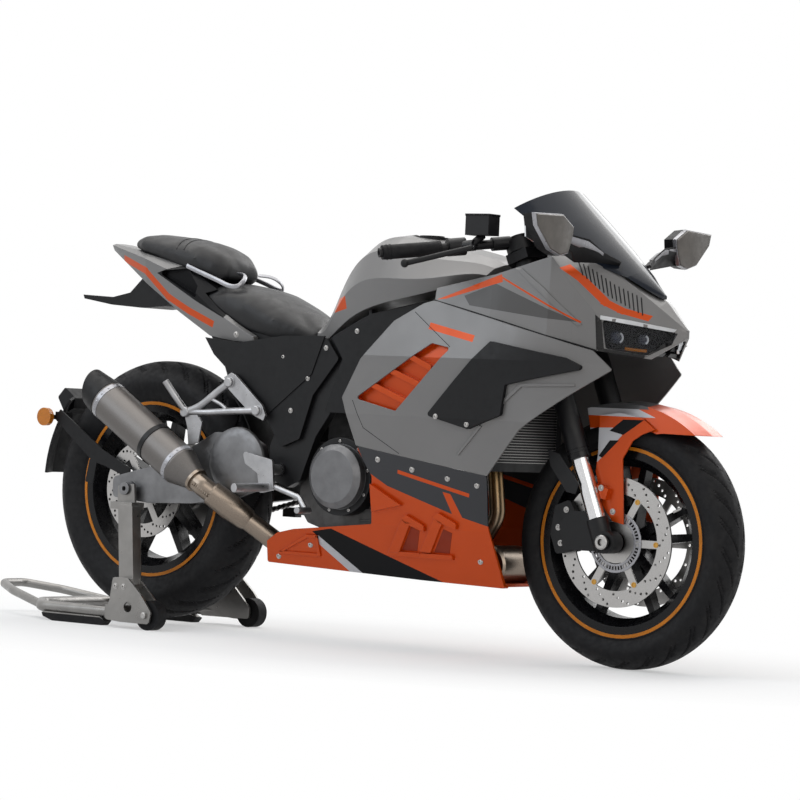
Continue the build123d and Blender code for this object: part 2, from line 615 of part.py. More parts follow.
# Fuel tank and filler cap
TANK_STATIONS = (
    # ahead, crown z, top half, top z, shoulder half, shoulder z, crease half, crease z, base half, base z
    (526, 774, 30, 772, 62, 766, 80, 752, 80, 738),
    (600, 898, 40, 891, 84, 860, 108, 806, 104, 756),
    (720, 995, 62, 986, 122, 950, 154, 880, 144, 812),
    (860, 984, 72, 976, 140, 942, 176, 884, 166, 842),
    (980, 958, 66, 952, 128, 930, 166, 894, 156, 870),
    (1056, 930, 50, 927, 96, 916, 128, 898, 120, 882),
)


def ring_of(row, grow=0.0):
    x, crown, pairs = ahead(row[0]), row[1], row[2:]
    right = []
    for i, (half, z) in enumerate(zip(pairs[::2], pairs[1::2])):
        right.append((x, -half - grow, z + (grow if i < 2 else -grow)))
    left = [(px, -py, pz) for px, py, pz in reversed(right)]
    return [(x, 0, crown + grow)] + right + left


tank = loft_through([ring_of(row) for row in TANK_STATIONS])
CAP_AHEAD = 800.0
CAP_FLOOR = 974.0
CAP_TOP = 992.0
tank = tank.cut(rod((ahead(CAP_AHEAD), 0, CAP_FLOOR), (ahead(CAP_AHEAD), 0, 1020), 47.0 + FIT))
NODES["fuel_tank"] = tank
filler = rod((ahead(CAP_AHEAD), 0, CAP_FLOOR + FIT), (ahead(CAP_AHEAD), 0, CAP_TOP), 47.0)
NODES["fuel_cap"] = filler.fuse(rod((ahead(CAP_AHEAD), 0, CAP_TOP - 2), (ahead(CAP_AHEAD), 0, CAP_TOP + 4), 30.0))
tank_seats = [block(ahead(716), ahead(724), s * 116 - 12, s * 116 + 12, 780, 810.4) for s in (-1, 1)]
NODES["frame"] = NODES["frame"].fuse(*tank_seats)

# Stays that carry the fairing: from the spars to the side panels, from the engine to the belly pan
inner_space = fairing_body(PANEL_T + FIT)
stays = []
for s in (-1, 1):
    stays.append(one(disc_y(ahead(960), s * (SPAR_OUT - 2), s * 260, 772, 7.0).intersect(inner_space)))
NODES["frame"] = NODES["frame"].fuse(*stays)
lugs = []
for s in (-1, 1):
    lugs.append(one(disc_y(ahead(801), s * (ENGINE_HALF - 4), s * 240, 350, 7.0).intersect(inner_space)))
NODES["engine"] = NODES["engine"].fuse(*lugs)

# Seats and tail
RIDER_STATIONS = (
    # ahead, crown z, top half, top z, side half, side z, base half, base z
    (150, 862, 64, 859, 98, 844, 100, 812),
    (250, 866, 84, 861, 116, 836, 112, 776),
    (330, 850, 92, 844, 124, 816, 116, 746),
    (420, 810, 92, 803, 122, 778, 112, SEAT_BASE_Z),
    (480, 786, 74, 779, 102, 760, 94, SEAT_BASE_Z),
    (524, 772, 56, 764, 76, 748, 70, SEAT_BASE_Z + 6),
)
PILLION_STATIONS = (
    (-110, 978, 30, 976, 44, 969, 42, 956),
    (-60, 993, 52, 987, 70, 967, 66, 943),
    (60, 984, 66, 976, 90, 949, 84, 918),
    (170, 972, 72, 962, 98, 930, 92, 888),
    (235, 952, 62, 941, 84, 912, 80, 868),
    (268, 920, 46, 914, 64, 898, 62, 880),
)
TAIL_STATIONS = (
    (-180, 966, 30, 965, 44, 961, 36, 948),
    (-31, 940, 66, 940, 88, 926, 78, 864),
    (100, 912, 84, 910, 108, 884, 98, 792),
    (213, 856, 92, 852, 118, 806, 112, 736),
    (300, 784, 98, 782, 126, 764, 122, SEAT_BASE_Z + 2),
    (366, 742, 100, 740, 130, 736, 128, SEAT_BASE_Z),
)
TAIL_POCKET = ((16, 893), (112, 902), (158, 858), (164, 826))
POCKET_FLOOR_Y = 82.0
rider_seat = loft_through([ring_of(row) for row in RIDER_STATIONS], True)
pillion_seat = loft_through([ring_of(row) for row in PILLION_STATIONS], True)
tail = loft_through([ring_of(row) for row in TAIL_STATIONS], True)
rider_room = loft_through([ring_of(row, FIT) for row in RIDER_STATIONS], True)
pillion_room = loft_through([ring_of(row, FIT) for row in PILLION_STATIONS], True)
pocket = prism([(ahead(a), z) for a, z in TAIL_POCKET], -160, -POCKET_FLOOR_Y, 6.0)
tail = tail.cut(rider_room, pillion_room, pocket, other_side(pocket))
NODES["rider_seat"] = rider_seat
NODES["pillion_seat"] = pillion_seat
NODES["tail_fairing"] = one(tail)

# Tail light, plate blade
lamp_row = [(ahead(-180) - FIT, y, z) for y, z in ((-34, 964), (34, 964), (30, 951), (-30, 951))]
lamp_end = [(ahead(-196), y, z) for y, z in ((-20, 962), (20, 962), (17, 954), (-17, 954))]
NODES["tail_light"] = loft_through((lamp_row, lamp_end), True)


def base_z(stations, a):
    for row, after in zip(stations, stations[1:]):
        if row[0] <= a <= after[0]:
            return row[-1] + (after[-1] - row[-1]) * (a - row[0]) / (after[0] - row[0])


BLADE_OUTLINE = (
    (-58, base_z(TAIL_STATIONS, -58) - FIT), (-31, base_z(TAIL_STATIONS, -31) - FIT),
    (40, base_z(TAIL_STATIONS, 40) - FIT), (20, 808), (-60, 802), (-160, 808), (-254, 822), (-258, 832),
    (-160, 827), (-100, 840),
)
PLATE_HOLE_R = 3.2
PLATE_HOLE_HALF = 45.0
PLATE_AHEAD = -215.0
plate_blade = prism([(ahead(a), z) for a, z in BLADE_OUTLINE], -60, 60)
for s in (-1, 1):
    hole_y = s * PLATE_HOLE_HALF
    hole = rod((ahead(PLATE_AHEAD), hole_y, 790), (ahead(PLATE_AHEAD), hole_y, 860), PLATE_HOLE_R)
    plate_blade = plate_blade.cut(hole)
NODES["plate_bracket"] = plate_blade

# Black covers over the frame
SIDE_COVER = (
    (285, 704), (450, 712), (530, 726), (600, 740), (640, 690), (566, 600), (530, 492),
    (474, 470), (420, 545), (308, 612), (276, 688),
)
FRAME_COVER = (
    (614, 742), (710, 792), (860, 826), (1000, 854), (1050, 860), (1050, 812), (930, 780), (830, 720),
    (740, 640), (690, 560), (600, 560), (650, 690),
)
side_cover = prism([(ahead(a), z) for a, z in SIDE_COVER], -SPAR_OUT - 11, -SPAR_OUT - FIT, 8.0)
frame_cover = prism([(ahead(a), z) for a, z in FRAME_COVER], -SPAR_OUT - 9, -SPAR_OUT - FIT, 6.0)
NODES["side_covers"] = Compound(children=[side_cover, other_side(side_cover), frame_cover, other_side(frame_cover)])

# Plate holder behind the rear tyre, on arms from the swingarm, with its reflectors
HOLDER_R = REAR_TYRE_R + 20.0
HOLDER_SIDE = ((HOLDER_R, 72), (HOLDER_R + 6, 74), (HOLDER_R + 27, 30))
HOLDER_INNER = ((HOLDER_R + 21, 28), (HOLDER_R, 72))
holder_outline = list(HOLDER_SIDE) + [(r, -y) for r, y in reversed(HOLDER_SIDE)]
holder_outline += [(r, -y) for r, y in reversed(HOLDER_INNER[:1])] + [HOLDER_INNER[0]]
holder = spin(holder_outline, REAR_X, REAR_Z, 34.0, 142.0)
HOLDER_BOX = ((-342, 566), (-318, 592), (-282, 566), (-286, 538), (-316, 524))
holder = holder.fuse(prism([(ahead(a), z) for a, z in HOLDER_BOX], -46, 46, 6.0))
HOLDER_ARM = ((-300, 512), (-280, 534), (-130, 438), (-36, 394), (-36, 368), (-118, 396), (-164, 408))
HOLDER_LEG = ((-172, 414), (-148, 404), (-158, 350), (-184, 354))
REFLECTOR_AHEAD = -316.0
REFLECTOR_Z = 514.0
REFLECTOR_Y = 112.0
ARM_FACE = ARM_IN - FIT
for s in (-1, 1):
    arm = prism([(ahead(a), z) for a, z in HOLDER_ARM], s * 99.2, s * ARM_FACE)
    leg = prism([(ahead(a), z) for a, z in HOLDER_LEG], s * 99.2, s * ARM_FACE, 4.0)
    lug = block(ahead(-296), ahead(-276), min(s * 60, s * ARM_FACE), max(s * 60, s * ARM_FACE), 514, 528)
    stalk = disc_y(ahead(REFLECTOR_AHEAD), s * 50, s * (REFLECTOR_Y - FIT), REFLECTOR_Z, 6.0)
    holder = holder.fuse(arm, leg, lug, stalk)
NODES["rear_hugger"] = one(holder)
reflector = disc_y(ahead(REFLECTOR_AHEAD), -REFLECTOR_Y, -REFLECTOR_Y - 14, REFLECTOR_Z, 23.0)
NODES["reflectors"] = both(reflector)

# Passenger brackets and the silencer hanger
BRACKET_Y = 146.0
PAX_OUTER = ((318, 640), (440, 552), (176, 538))
PAX_INNER = ((320, 610), (394, 560), (256, 554))
pax = prism([(ahead(a), z) for a, z in PAX_OUTER], -BRACKET_Y - 14, -BRACKET_Y, 9.0)
pax = pax.cut(prism([(ahead(a), z) for a, z in PAX_INNER], -BRACKET_Y - 20, -BRACKET_Y + 5, 5.0))
fixings = [disc_y(ahead(a), -BRACKET_Y - 2, -SPAR_OUT - 11 - FIT, z, 9.0) for a, z in ((320, 622), (414, 557))]
peg = rod((ahead(196), -BRACKET_Y - 8, 548), (ahead(142), -BRACKET_Y - 44, 622), 9.0)
pax_right = one(pax.fuse(*fixings, peg))
HANGER = ((196, 544), (240, 544), (232, 430), (206, 430))
hanger = prism([(ahead(a), z) for a, z in HANGER], -BRACKET_Y - 14, -BRACKET_Y - 8, 5.0)
hanger = one(hanger.cut(rod(silencer_front - silencer_dir * 60, silencer_rear, SILENCER_R + FIT)))
NODES["passenger_brackets"] = Compound(children=[one(pax_right.fuse(hanger)), other_side(pax_right)])

# Rider footrests, pedals
REST_OUTLINE = ((-82, 456), (12, 438), (20, 366), (-24, 356), (-32, 404), (-72, 426))
rest_plate = prism([(pivot(a), z) for a, z in REST_OUTLINE], -180, -172, 7.0)
rest_post = disc_y(pivot(0), -174, -SPAR_OUT - 8 - FIT, PIVOT_Z, 13.0)
rest_peg = rod((pivot(0), -176, 372), (pivot(-22), -280, 368), 11.0)
pedal = tube(((pivot(0), -170, 378), (pivot(90), -166, 352), (pivot(120), -176, 322)), 7.0, 20.0)
toe = disc_y(pivot(120), -164, -212, 322, 8.0)
NODES["footrests"] = both(one(rest_plate.fuse(rest_post, rest_peg, pedal, toe)))

# Rear caliper over the disc, on the swingarm
caliper = prism([(ahead(a), z) for a, z in ((52, 405), (108, 380), (128, 420), (76, 446))], -102, -72, 8.0)
slot = disc_y(REAR_X, -REAR_DISC_Y - DISC_T - 4, -REAR_DISC_Y + 4, REAR_Z, REAR_DISC_R + 6)
caliper = caliper.cut(slot)
NODES["rear_caliper"] = one(caliper.fuse(block(ahead(70), ahead(100), -ARM_IN + FIT, -100, 396, 412)))

# Fork, yokes and bars
FORK_TUBE_R = 26.0
SLIDER_R = 20.5
YOKE_T = 24.0
LOW_YOKE = HEAD_LOW - FIT - YOKE_T
HIGH_YOKE = HEAD_HIGH + FIT
TUBE_LOW = 205.0
TUBE_HIGH = HIGH_YOKE + YOKE_T + 40.0


def pair_solids(maker):
    return Compound(children=[maker(-1), maker(1)])


NODES["fork_tubes"] = pair_solids(
    lambda s: rod(fork_point(TUBE_LOW, s * FORK_HALF), fork_point(TUBE_HIGH, s * FORK_HALF), FORK_TUBE_R))
NODES["fork_sliders"] = pair_solids(
    lambda s: rod(fork_point(60, s * FORK_HALF), fork_point(TUBE_LOW - FIT, s * FORK_HALF), SLIDER_R))
EAR_OUTLINE = ((-30, 70), (-14, -22), (-118, -24), (-132, 36), (-104, 66))
feet = []
for s in (-1, 1):
    foot = rod(fork_point(-14, s * FORK_HALF), fork_point(60 - FIT, s * FORK_HALF), 25.0)
    lug = disc_y(FRONT_X, s * (FORK_HALF - 22), s * (FORK_HALF + 20), FRONT_Z, 26.0)
    ear = prism([(FRONT_X + a, FRONT_Z + b) for a, b in EAR_OUTLINE], s * (FORK_HALF - 9), s * (FORK_HALF + 9), 6.0)
    feet.extend((foot, lug, ear))
feet.append(disc_y(FRONT_X, -FORK_HALF - 30, FORK_HALF + 30, FRONT_Z, FRONT_AXLE_R))
feet_solid = feet[0].fuse(*feet[1:])
for s in (-1, 1):
    slider_room = rod(fork_point(60 - FIT, s * FORK_HALF), fork_point(200, s * FORK_HALF), SLIDER_R + FIT)
    feet_solid = feet_solid.cut(slider_room)
NODES["fork_feet"] = one(feet_solid.cut(disc_y(FRONT_X, -200, 200, FRONT_Z, 7.0)))


def yoke(along):
    plane = Plane(origin=steer_point(along), x_dir=NOSE, z_dir=UP)
    plan = Polygon(
        (-38, -30), (-38, 30), (2, 134), (60, 134), (66, 60), (52, 0), (66, -60), (60, -134), (2, -134), align=None)
    body = Solid.extrude((plane * plan).face(), UP * YOKE_T)
    for s in (-1, 1):
        y = s * FORK_HALF
        body = body.cut(rod(fork_point(along - 50, y), fork_point(along + 90, y), FORK_TUBE_R + FIT))
    return body


stem = rod(steer_point(LOW_YOKE), steer_point(HIGH_YOKE + YOKE_T + 10), STEM_R)
NODES["yokes"] = one(stem.fuse(yoke(LOW_YOKE), yoke(HIGH_YOKE)))

BAR_R = 11.0
GRIP_R = 17.0
CLIP_AT = HIGH_YOKE + YOKE_T + 16.0
bar_in = fork_point(CLIP_AT, -FORK_HALF) + Vector(-22, -24, 6)
bar_out = Vector(fore(-484), -378, 934)
bar_dir = (bar_out - bar_in).normalized()
bar_len = (bar_out - bar_in).length
clip = rod(fork_point(CLIP_AT - 14, -FORK_HALF), fork_point(CLIP_AT + 14, -FORK_HALF), FORK_TUBE_R + 10)
clip = clip.fuse(rod(bar_in - bar_dir * 10, bar_in + bar_dir * 40, 16.0))
clip = clip.fuse(rod(bar_in, bar_out, BAR_R))
pod_at = bar_in + bar_dir * (bar_len - 168)
clip = clip.fuse(rod(pod_at - bar_dir * 42, pod_at, 21.0))
perch = bar_in + bar_dir * (bar_len - 196)
clip = clip.fuse(rod(perch, perch + Vector(44, 0, 4), 13.0))
cup = perch + Vector(44, 30, 28)
clip = clip.fuse(rod(perch + Vector(36, 0, 4), cup, 9.0))
clip = clip.fuse(block(cup.X - 34, cup.X + 32, cup.Y - 23, cup.Y + 21, cup.Z, cup.Z + 46))
clip = clip.cut(rod(fork_point(CLIP_AT - 60, -FORK_HALF), fork_point(CLIP_AT + 60, -FORK_HALF), FORK_TUBE_R + FIT))
clip = clip.cut(rod(bar_out - bar_dir * 60, bar_out + bar_dir * 5, 7.0))
NODES["handlebars"] = both(one(clip))
grip = rod(bar_in + bar_dir * (bar_len - 150), bar_in + bar_dir * (bar_len - 8), GRIP_R)
grip = grip.cut(rod(bar_in, bar_out + bar_dir * 10, BAR_R + FIT))
NODES["grips"] = both(grip)
lever_in = perch + Vector(40, -2, 2)
lever_bend = lever_in + Vector(16, -30, -6)
lever_tip = bar_out + Vector(50, 34, -22)
lever = rod(lever_in, lever_bend, 6.5)
lever = lever.fuse(Solid.make_sphere(6.5, Plane(origin=lever_bend)), rod(lever_bend, lever_tip, 6.5))
lever = lever.fuse(Solid.make_sphere(9.5, Plane(origin=lever_tip)))
NODES["levers"] = both(one(lever.cut(NODES["handlebars"].solids()[0])))

# Front mudguard on the fork feet
GUARD_R = FRONT_TYRE_R + 22.0
GUARD_START = 50.0
GUARD_ARC = 58.0
GUARD_CROWN = (
    (GUARD_R, -58), (GUARD_R + 4, -58), (GUARD_R + 10, 0), (GUARD_R + 4, 58), (GUARD_R, 58), (GUARD_R + 6, 0))
GUARD_STAY = (
    (-54, 290), (-54, 200), (-58, 160), (-36, 84), (-6, 48), (24, 42), (14, 192), (39, 234), (65, 250), (98, 262),
    (60, 288), (0, 298))
GUARD_PAD = ((-70, 108), (-20, 96), (-12, 122), (-66, 136))
GUARD_TRIM = ((62, 180), (62, 248), (114, 254), (260, 252), (260, 180))
guard = spin(GUARD_CROWN, FRONT_X, FRONT_Z, GUARD_ARC, GUARD_START)
for s in (-1, 1):
    side = ((GUARD_R - 46, s * 64), (GUARD_R - 46, s * 68), (GUARD_R + 4, s * 60), (GUARD_R + 4, s * 56))
    skirt = spin(side, FRONT_X, FRONT_Z, GUARD_ARC, GUARD_START)
    stay = prism([(FRONT_X + a, FRONT_Z + b) for a, b in GUARD_STAY], s * 72.4, s * 76.4)
    stay = stay.cut(rod(fork_point(-14, s * FORK_HALF), fork_point(60, s * FORK_HALF), 25.0 + FIT))
    step = ((GUARD_R - 46, s * 64), (GUARD_R - 46, s * 76.4), (GUARD_R - 30, s * 76.4), (GUARD_R - 30, s * 62))
    bridge = spin(step, FRONT_X, FRONT_Z, 22.0, 76.0)
    pad = prism([(FRONT_X + a, FRONT_Z + b) for a, b in GUARD_PAD], s * 74, s * 90)
    pad = pad.cut(rod(fork_point(0, s * FORK_HALF), fork_point(300, s * FORK_HALF), SLIDER_R + FIT))
    guard = guard.fuse(skirt, stay, bridge, pad)
guard = guard.cut(prism([(FRONT_X + a, FRONT_Z + b) for a, b in GUARD_TRIM], -70, 70))
NODES["front_mudguard"] = one(guard)

# Front calipers on the fork ears
CALIPER_OUTLINE = ((-168, 10), (-150, -36), (-100, -26), (-92, 50), (-118, 92), (-158, 76))
pads = prism([(FRONT_X + a, FRONT_Z + b) for a, b in CALIPER_OUTLINE], -FORK_HALF + 10 - FIT, -54, 9.0)
disc_room = disc_y(FRONT_X, -FRONT_DISC_Y - DISC_T - 4, -FRONT_DISC_Y + 4, FRONT_Z, FRONT_DISC_R + 6)
pads = pads.cut(disc_room)
NODES["front_calipers"] = both(one(pads))

# Side stand, folded along the left side
STAND_AHEAD = PIVOT_AHEAD + 50.0
STAND_Y = 166.0
STAND_Z = 304.0
STAND_LEAN = 14.0
stand_at = Vector(ahead(STAND_AHEAD), STAND_Y, STAND_Z)
stand_axis = Vector(sin(radians(STAND_LEAN)), -cos(radians(STAND_LEAN)), 0)
eye = rod(stand_at - stand_axis * 10, stand_at + stand_axis * 10, 17.0)
leg = rod(stand_at + stand_axis * 3, stand_at + stand_axis * 3 + Vector(-246, 0, 0), 7.5)
foot_x = ahead(STAND_AHEAD) - 242
pad_plate = block(foot_x - 20, foot_x + 20, STAND_Y - 12, STAND_Y + 14, STAND_Z - 14, STAND_Z + 10)
side_stand = eye.fuse(leg, pad_plate).cut(rod(stand_at - stand_axis * 20, stand_at + stand_axis * 20, 8.0 + GAP))
NODES["side_stand"] = side_stand
stand_pin = rod(stand_at + stand_axis * 30, stand_at - stand_axis * 12, 8.0)
stand_head = rod(stand_at - stand_axis * 10.5, stand_at - stand_axis * 15, 14.0)
stand_base = rod(stand_at + stand_axis * 11, stand_at + stand_axis * 42, 15.0)
STAND_ARM = ((30, 290), (70, 290), (54, 400), (30, 400))
stand_arm = prism([(pivot(a), z) for a, z in STAND_ARM], 112, 128, 5.0)
NODES["frame"] = NODES["frame"].fuse(stand_pin, stand_head, stand_base, stand_arm)

# Paddock stand
ROLLER_AHEAD = 137.0
ROLLER_Y = 198.0
ROLLER_R = 37.0
ROLLER_W = 32.0
TUBE_R = 14.0
HANDLE_R = 11.0
HOOK_Y = 155.5
CHEEK_IN = 170.0
CHEEK_OUT = 219.0
CHEEK_T = 6.0
roller = disc_y(ahead(ROLLER_AHEAD), -ROLLER_Y - ROLLER_W / 2, -ROLLER_Y + ROLLER_W / 2, ROLLER_R, ROLLER_R)
roller = roller.cut(disc_y(ahead(ROLLER_AHEAD), -240, -160, ROLLER_R, 9.0 + GAP))
NODES["roller_right"] = roller
NODES["roller_left"] = other_side(roller)
HOOK_OUTLINE = ((-24, -46), (34, -46), (28, 12), (16, 12), (12, 0), (-12, 0), (-14, 6), (-24, 6))
INNER_CHEEK = ((150, 22), (150, 52), (70, 128), (18, 128), (-10, 60), (-10, 20))
OUTER_CHEEK = ((4, 20), (22, 70), (30, 126), (78, 126), (122, 88), (158, 46), (152, 16), (60, 16))
UPRIGHT = ((30, 104), (76, 104), (60, 306), (14, 306))
SKID = ((-232, 22), (-40, 22), (-22, 12), (-32, 0), (-196, 0), (-228, 10))
stand_side = []
for s in (-1, 1):
    outer_end = CHEEK_OUT + CHEEK_T
    stand_side.append(prism([(ahead(a), z) for a, z in INNER_CHEEK], s * CHEEK_IN, s * (CHEEK_IN + CHEEK_T), 8.0))
    cheek = prism([(ahead(a), z) for a, z in OUTER_CHEEK], s * CHEEK_OUT, s * outer_end, 10.0)
    stand_side.append(cheek.cut(disc_y(ahead(82), s * (CHEEK_OUT - 5), s * (outer_end + 5), 54, 13.0)))
    stand_side.append(disc_y(ahead(ROLLER_AHEAD), s * (CHEEK_IN + 1), s * (outer_end + 3), ROLLER_R, 9.0))
    stand_side.append(prism([(ahead(a), z) for a, z in UPRIGHT], s * 168, s * 200, 6.0))
    stand_side.append(block(ahead(30), ahead(74), min(s * 169, s * outer_end), max(s * 169, s * outer_end), 92, 124))
    stand_side.append(block(ahead(8), ahead(56), min(s * 171, s * outer_end), max(s * 171, s * outer_end), 24, 56))
    hook = prism([(REAR_X + a, REAR_Z + b) for a, b in HOOK_OUTLINE], s * (HOOK_Y - 3.5), s * (HOOK_Y + 3.5))
    hook = hook.cut(disc_y(REAR_X, s * 130, s * 175, REAR_Z, BOBBIN_R + FIT))
    stand_side.append(hook)
    stand_side.append(block(ahead(-12), ahead(58), min(s * 152, s * 199), max(s * 152, s * 199), 294, 312))
    stand_side.append(prism([(ahead(a), z) for a, z in SKID], s * 166, s * 190))
BASE_HALF = ((30, 184, 36), (-250, 174, 34), (-302, 118, 38))
HANDLE_HALF = ((-280, 146, 36), (-420, 96, 60), (HANDLE_R - STAND_REACH, 40, 74))
base_path = [(ahead(a), -y, z) for a, y, z in BASE_HALF] + [(ahead(a), y, z) for a, y, z in reversed(BASE_HALF)]
handle_path = [(ahead(a), -y, z) for a, y, z in HANDLE_HALF] + [(ahead(a), y, z) for a, y, z in reversed(HANDLE_HALF)]
base_tube = tube(base_path, TUBE_R, (50.0, 40.0, 40.0, 50.0))
handle = tube(handle_path, HANDLE_R, (60.0, 34.0, 34.0, 60.0))
loop = base_tube.fuse(handle)
NODES["paddock_stand"] = one(loop.fuse(*stand_side))

os.makedirs("parts", exist_ok=True)
for name, shape in NODES.items():
    export_step(one(shape), "parts/" + name + ".step")
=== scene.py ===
"""Looks of a faired sport motorcycle on a rear paddock stand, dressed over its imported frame."""
import functools
import json
import math

import bmesh
import bpy
from mathutils import Matrix, Vector
from mathutils.bvhtree import BVHTree


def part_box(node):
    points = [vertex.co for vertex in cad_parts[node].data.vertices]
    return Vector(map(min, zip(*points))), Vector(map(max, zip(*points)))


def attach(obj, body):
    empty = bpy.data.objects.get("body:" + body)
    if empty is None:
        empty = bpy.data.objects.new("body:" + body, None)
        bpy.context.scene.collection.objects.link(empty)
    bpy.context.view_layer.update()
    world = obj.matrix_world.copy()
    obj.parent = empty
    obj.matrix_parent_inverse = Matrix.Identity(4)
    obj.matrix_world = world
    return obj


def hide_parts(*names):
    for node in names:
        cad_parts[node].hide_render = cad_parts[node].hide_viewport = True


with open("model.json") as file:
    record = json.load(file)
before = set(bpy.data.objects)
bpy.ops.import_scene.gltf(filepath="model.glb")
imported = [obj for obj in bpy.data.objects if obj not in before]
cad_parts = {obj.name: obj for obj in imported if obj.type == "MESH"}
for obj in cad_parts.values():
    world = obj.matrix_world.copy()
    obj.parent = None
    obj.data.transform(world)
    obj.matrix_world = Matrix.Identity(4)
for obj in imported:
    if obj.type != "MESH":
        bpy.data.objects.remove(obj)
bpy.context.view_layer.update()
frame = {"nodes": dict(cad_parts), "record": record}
NODE = frame["nodes"]
MATERIAL = {}
MM = 0.001
REAR_AXLE_X = -592.0
FRONT_AHEAD, FRONT_Z = 1410.0, 294.0
REAR_Z = 345.0
TO_RIGHT = (0, -1, 0)
SHARP, NODE_SHARP = 32.0, 24.0
NOISE_LOW, NOISE_HIGH = 0.3, 0.7
SCREW_HIGH = 3.5
DRAPE_STEP, DRAPE_SINK = 9.0, 1.5


def at(ahead, y, z):
    """A point in metres from millimetres ahead of the rear axle, to the left, and above the floor."""
    return Vector(((ahead + REAR_AXLE_X) * MM, y * MM, z * MM))


class Nodes:
    """Short calls that add nodes to a tree."""

    def __init__(self, tree):
        self.tree = tree

    def node(self, kind, **settings):
        n = self.tree.nodes.new(kind)
        for key, value in settings.items():
            setattr(n, key, value)
        return n

    def put(self, node, socket, value):
        """Sets a node's input, or links another node's output to it."""
        if isinstance(value, bpy.types.NodeSocket):
            self.tree.links.new(value, node.inputs[socket])
        else:
            node.inputs[socket].default_value = value

    def fill(self, node, *values, **named):
        """Puts values into a node's inputs, by their order or by name."""
        for socket, value in (*enumerate(values), *named.items()):
            self.put(node, socket, value)
        return node.outputs

    def math(self, op, *values):
        return self.fill(self.node("ShaderNodeMath", operation=op), *values)[0]

    def remap(self, source, low, high, to_low, to_high):
        return self.fill(self.node("ShaderNodeMapRange"), source, low, high, to_low, to_high)[0]

    def apart(self, vector, centre):
        return self.fill(self.node("ShaderNodeVectorMath", operation="DISTANCE"), vector, centre)["Value"]

    def split(self, vector):
        return self.fill(self.node("ShaderNodeSeparateXYZ"), vector)

    def blend(self, fac, a, b):
        n = self.node("ShaderNodeMix", data_type="RGBA")
        self.put(n, 0, fac)
        for i, v in ((6, a), (7, b)):
            self.put(n, i, v if isinstance(v, bpy.types.NodeSocket) else (*v, 1.0))
        return n.outputs[2]

    def seen(self):
        """1 for what the camera sees straight, through glass or in a reflection."""
        rays = self.node("ShaderNodeLightPath").outputs
        plain = self.math("MAXIMUM", rays["Is Camera Ray"], rays["Is Glossy Ray"])
        return self.math("MAXIMUM", plain, rays["Is Transmission Ray"])


class Look(Nodes):
    """A node material on the object's own coordinates in metres, kept in MATERIAL by its name."""

    def __init__(self, name, colour, rough, metal=0.0, **sockets):
        self.mat = MATERIAL[name] = bpy.data.materials.new(name)
        self.mat.use_nodes = True
        super().__init__(self.mat.node_tree)
        self.shader = self.tree.nodes["Principled BSDF"]
        self.colour, self.rough, self.edge = colour, rough, None
        self.set("Base Color", (*colour, 1.0))
        self.set("Roughness", rough)
        self.set("Metallic", metal)
        for key, value in sockets.items():
            self.set(key.replace("_", " "), value)
        self.coords = self.node("ShaderNodeTexCoord").outputs["Object"]

    def set(self, socket, value):
        self.put(self.shader, socket, value)

    @functools.cached_property
    def xyz(self):
        return self.split(self.coords)

    def stretched(self, scale):
        return self.fill(self.node("ShaderNodeMapping"), Vector=self.coords, Scale=scale)[0]

    def noise(self, scale, detail=3.0, rough=0.55, stretch=None):
        source = self.stretched(stretch) if stretch else self.coords
        n = self.node("ShaderNodeTexNoise")
        return self.fill(n, Vector=source, Scale=scale, Detail=detail, Roughness=rough)["Fac"]

    def cells(self, scale, feature="F1"):
        n = self.node("ShaderNodeTexVoronoi", feature=feature)
        return self.fill(n, Vector=self.coords, Scale=scale)["Distance"]

    def round(self, radius=1.2):
        """Softens the shading of sharp edges, over a radius in millimetres."""
        self.edge = self.fill(self.node("ShaderNodeBevel", samples=4), Radius=radius * MM)[0]
        self.set("Normal", self.edge)

    def bump(self, height, strength, distance):
        n = self.node("ShaderNodeBump")
        self.fill(n, Strength=strength, Distance=distance, Height=height)
        if self.edge is not None:
            self.put(n, "Normal", self.edge)
        self.set("Normal", n.outputs[0])

    def side_of(self, a, b):
        """Metres to the left of the line from a to b, seen from the right-hand side, in (ahead, height)."""
        x, _, z = self.xyz
        (x0, z0), (x1, z1) = [((p[0] + REAR_AXLE_X) * MM, p[1] * MM) for p in (a, b)]
        nx, nz = -(z1 - z0), x1 - x0
        size = math.hypot(nx, nz)
        nx, nz = nx / size, nz / size
        d = self.math("MULTIPLY_ADD", x, nx, -(nx * x0 + nz * z0))
        return self.math("MULTIPLY_ADD", z, nz, d)

    def patch(self, *points):
        """1 inside a convex outline given anticlockwise in (ahead, height)."""
        sides = [self.side_of(a, b) for a, b in zip(points, points[1:] + points[:1])]
        nearest = functools.reduce(lambda a, b: self.math("MINIMUM", a, b), sides)
        return self.math("GREATER_THAN", nearest, 0.0)

    def line(self, width, *points):
        """1 along a broken line in (ahead, height)."""
        parts = []
        for a, b in zip(points, points[1:]):
            d = Vector((b[0] - a[0], b[1] - a[1])).normalized() * (width / 2)
            s = Vector((-d.y, d.x))
            parts.append(self.patch(*(
                (p[0] + along * d.x + aside * s.x, p[1] + along * d.y + aside * s.y)
                for p, along, aside in ((a, -1, -1), (b, 1, -1), (b, 1, 1), (a, -1, 1)))))
        return functools.reduce(lambda a, b: self.math("MAXIMUM", a, b), parts)

    def worn(self, dark, scale):
        """The colour with a slow drift to a darker one."""
        shade = self.remap(self.noise(scale, 4.0), NOISE_LOW, NOISE_HIGH, 0.0, 1.0)
        return self.blend(shade, dim(self.colour, dark), self.colour)

    def roughen(self, scale, less, more):
        """Lets the roughness wander from less under to more over its level."""
        drift = self.remap(self.noise(scale), NOISE_LOW, NOISE_HIGH, self.rough - less, self.rough + more)
        self.set("Roughness", drift)


def dim(colour, share):
    return tuple(c * share for c in colour)


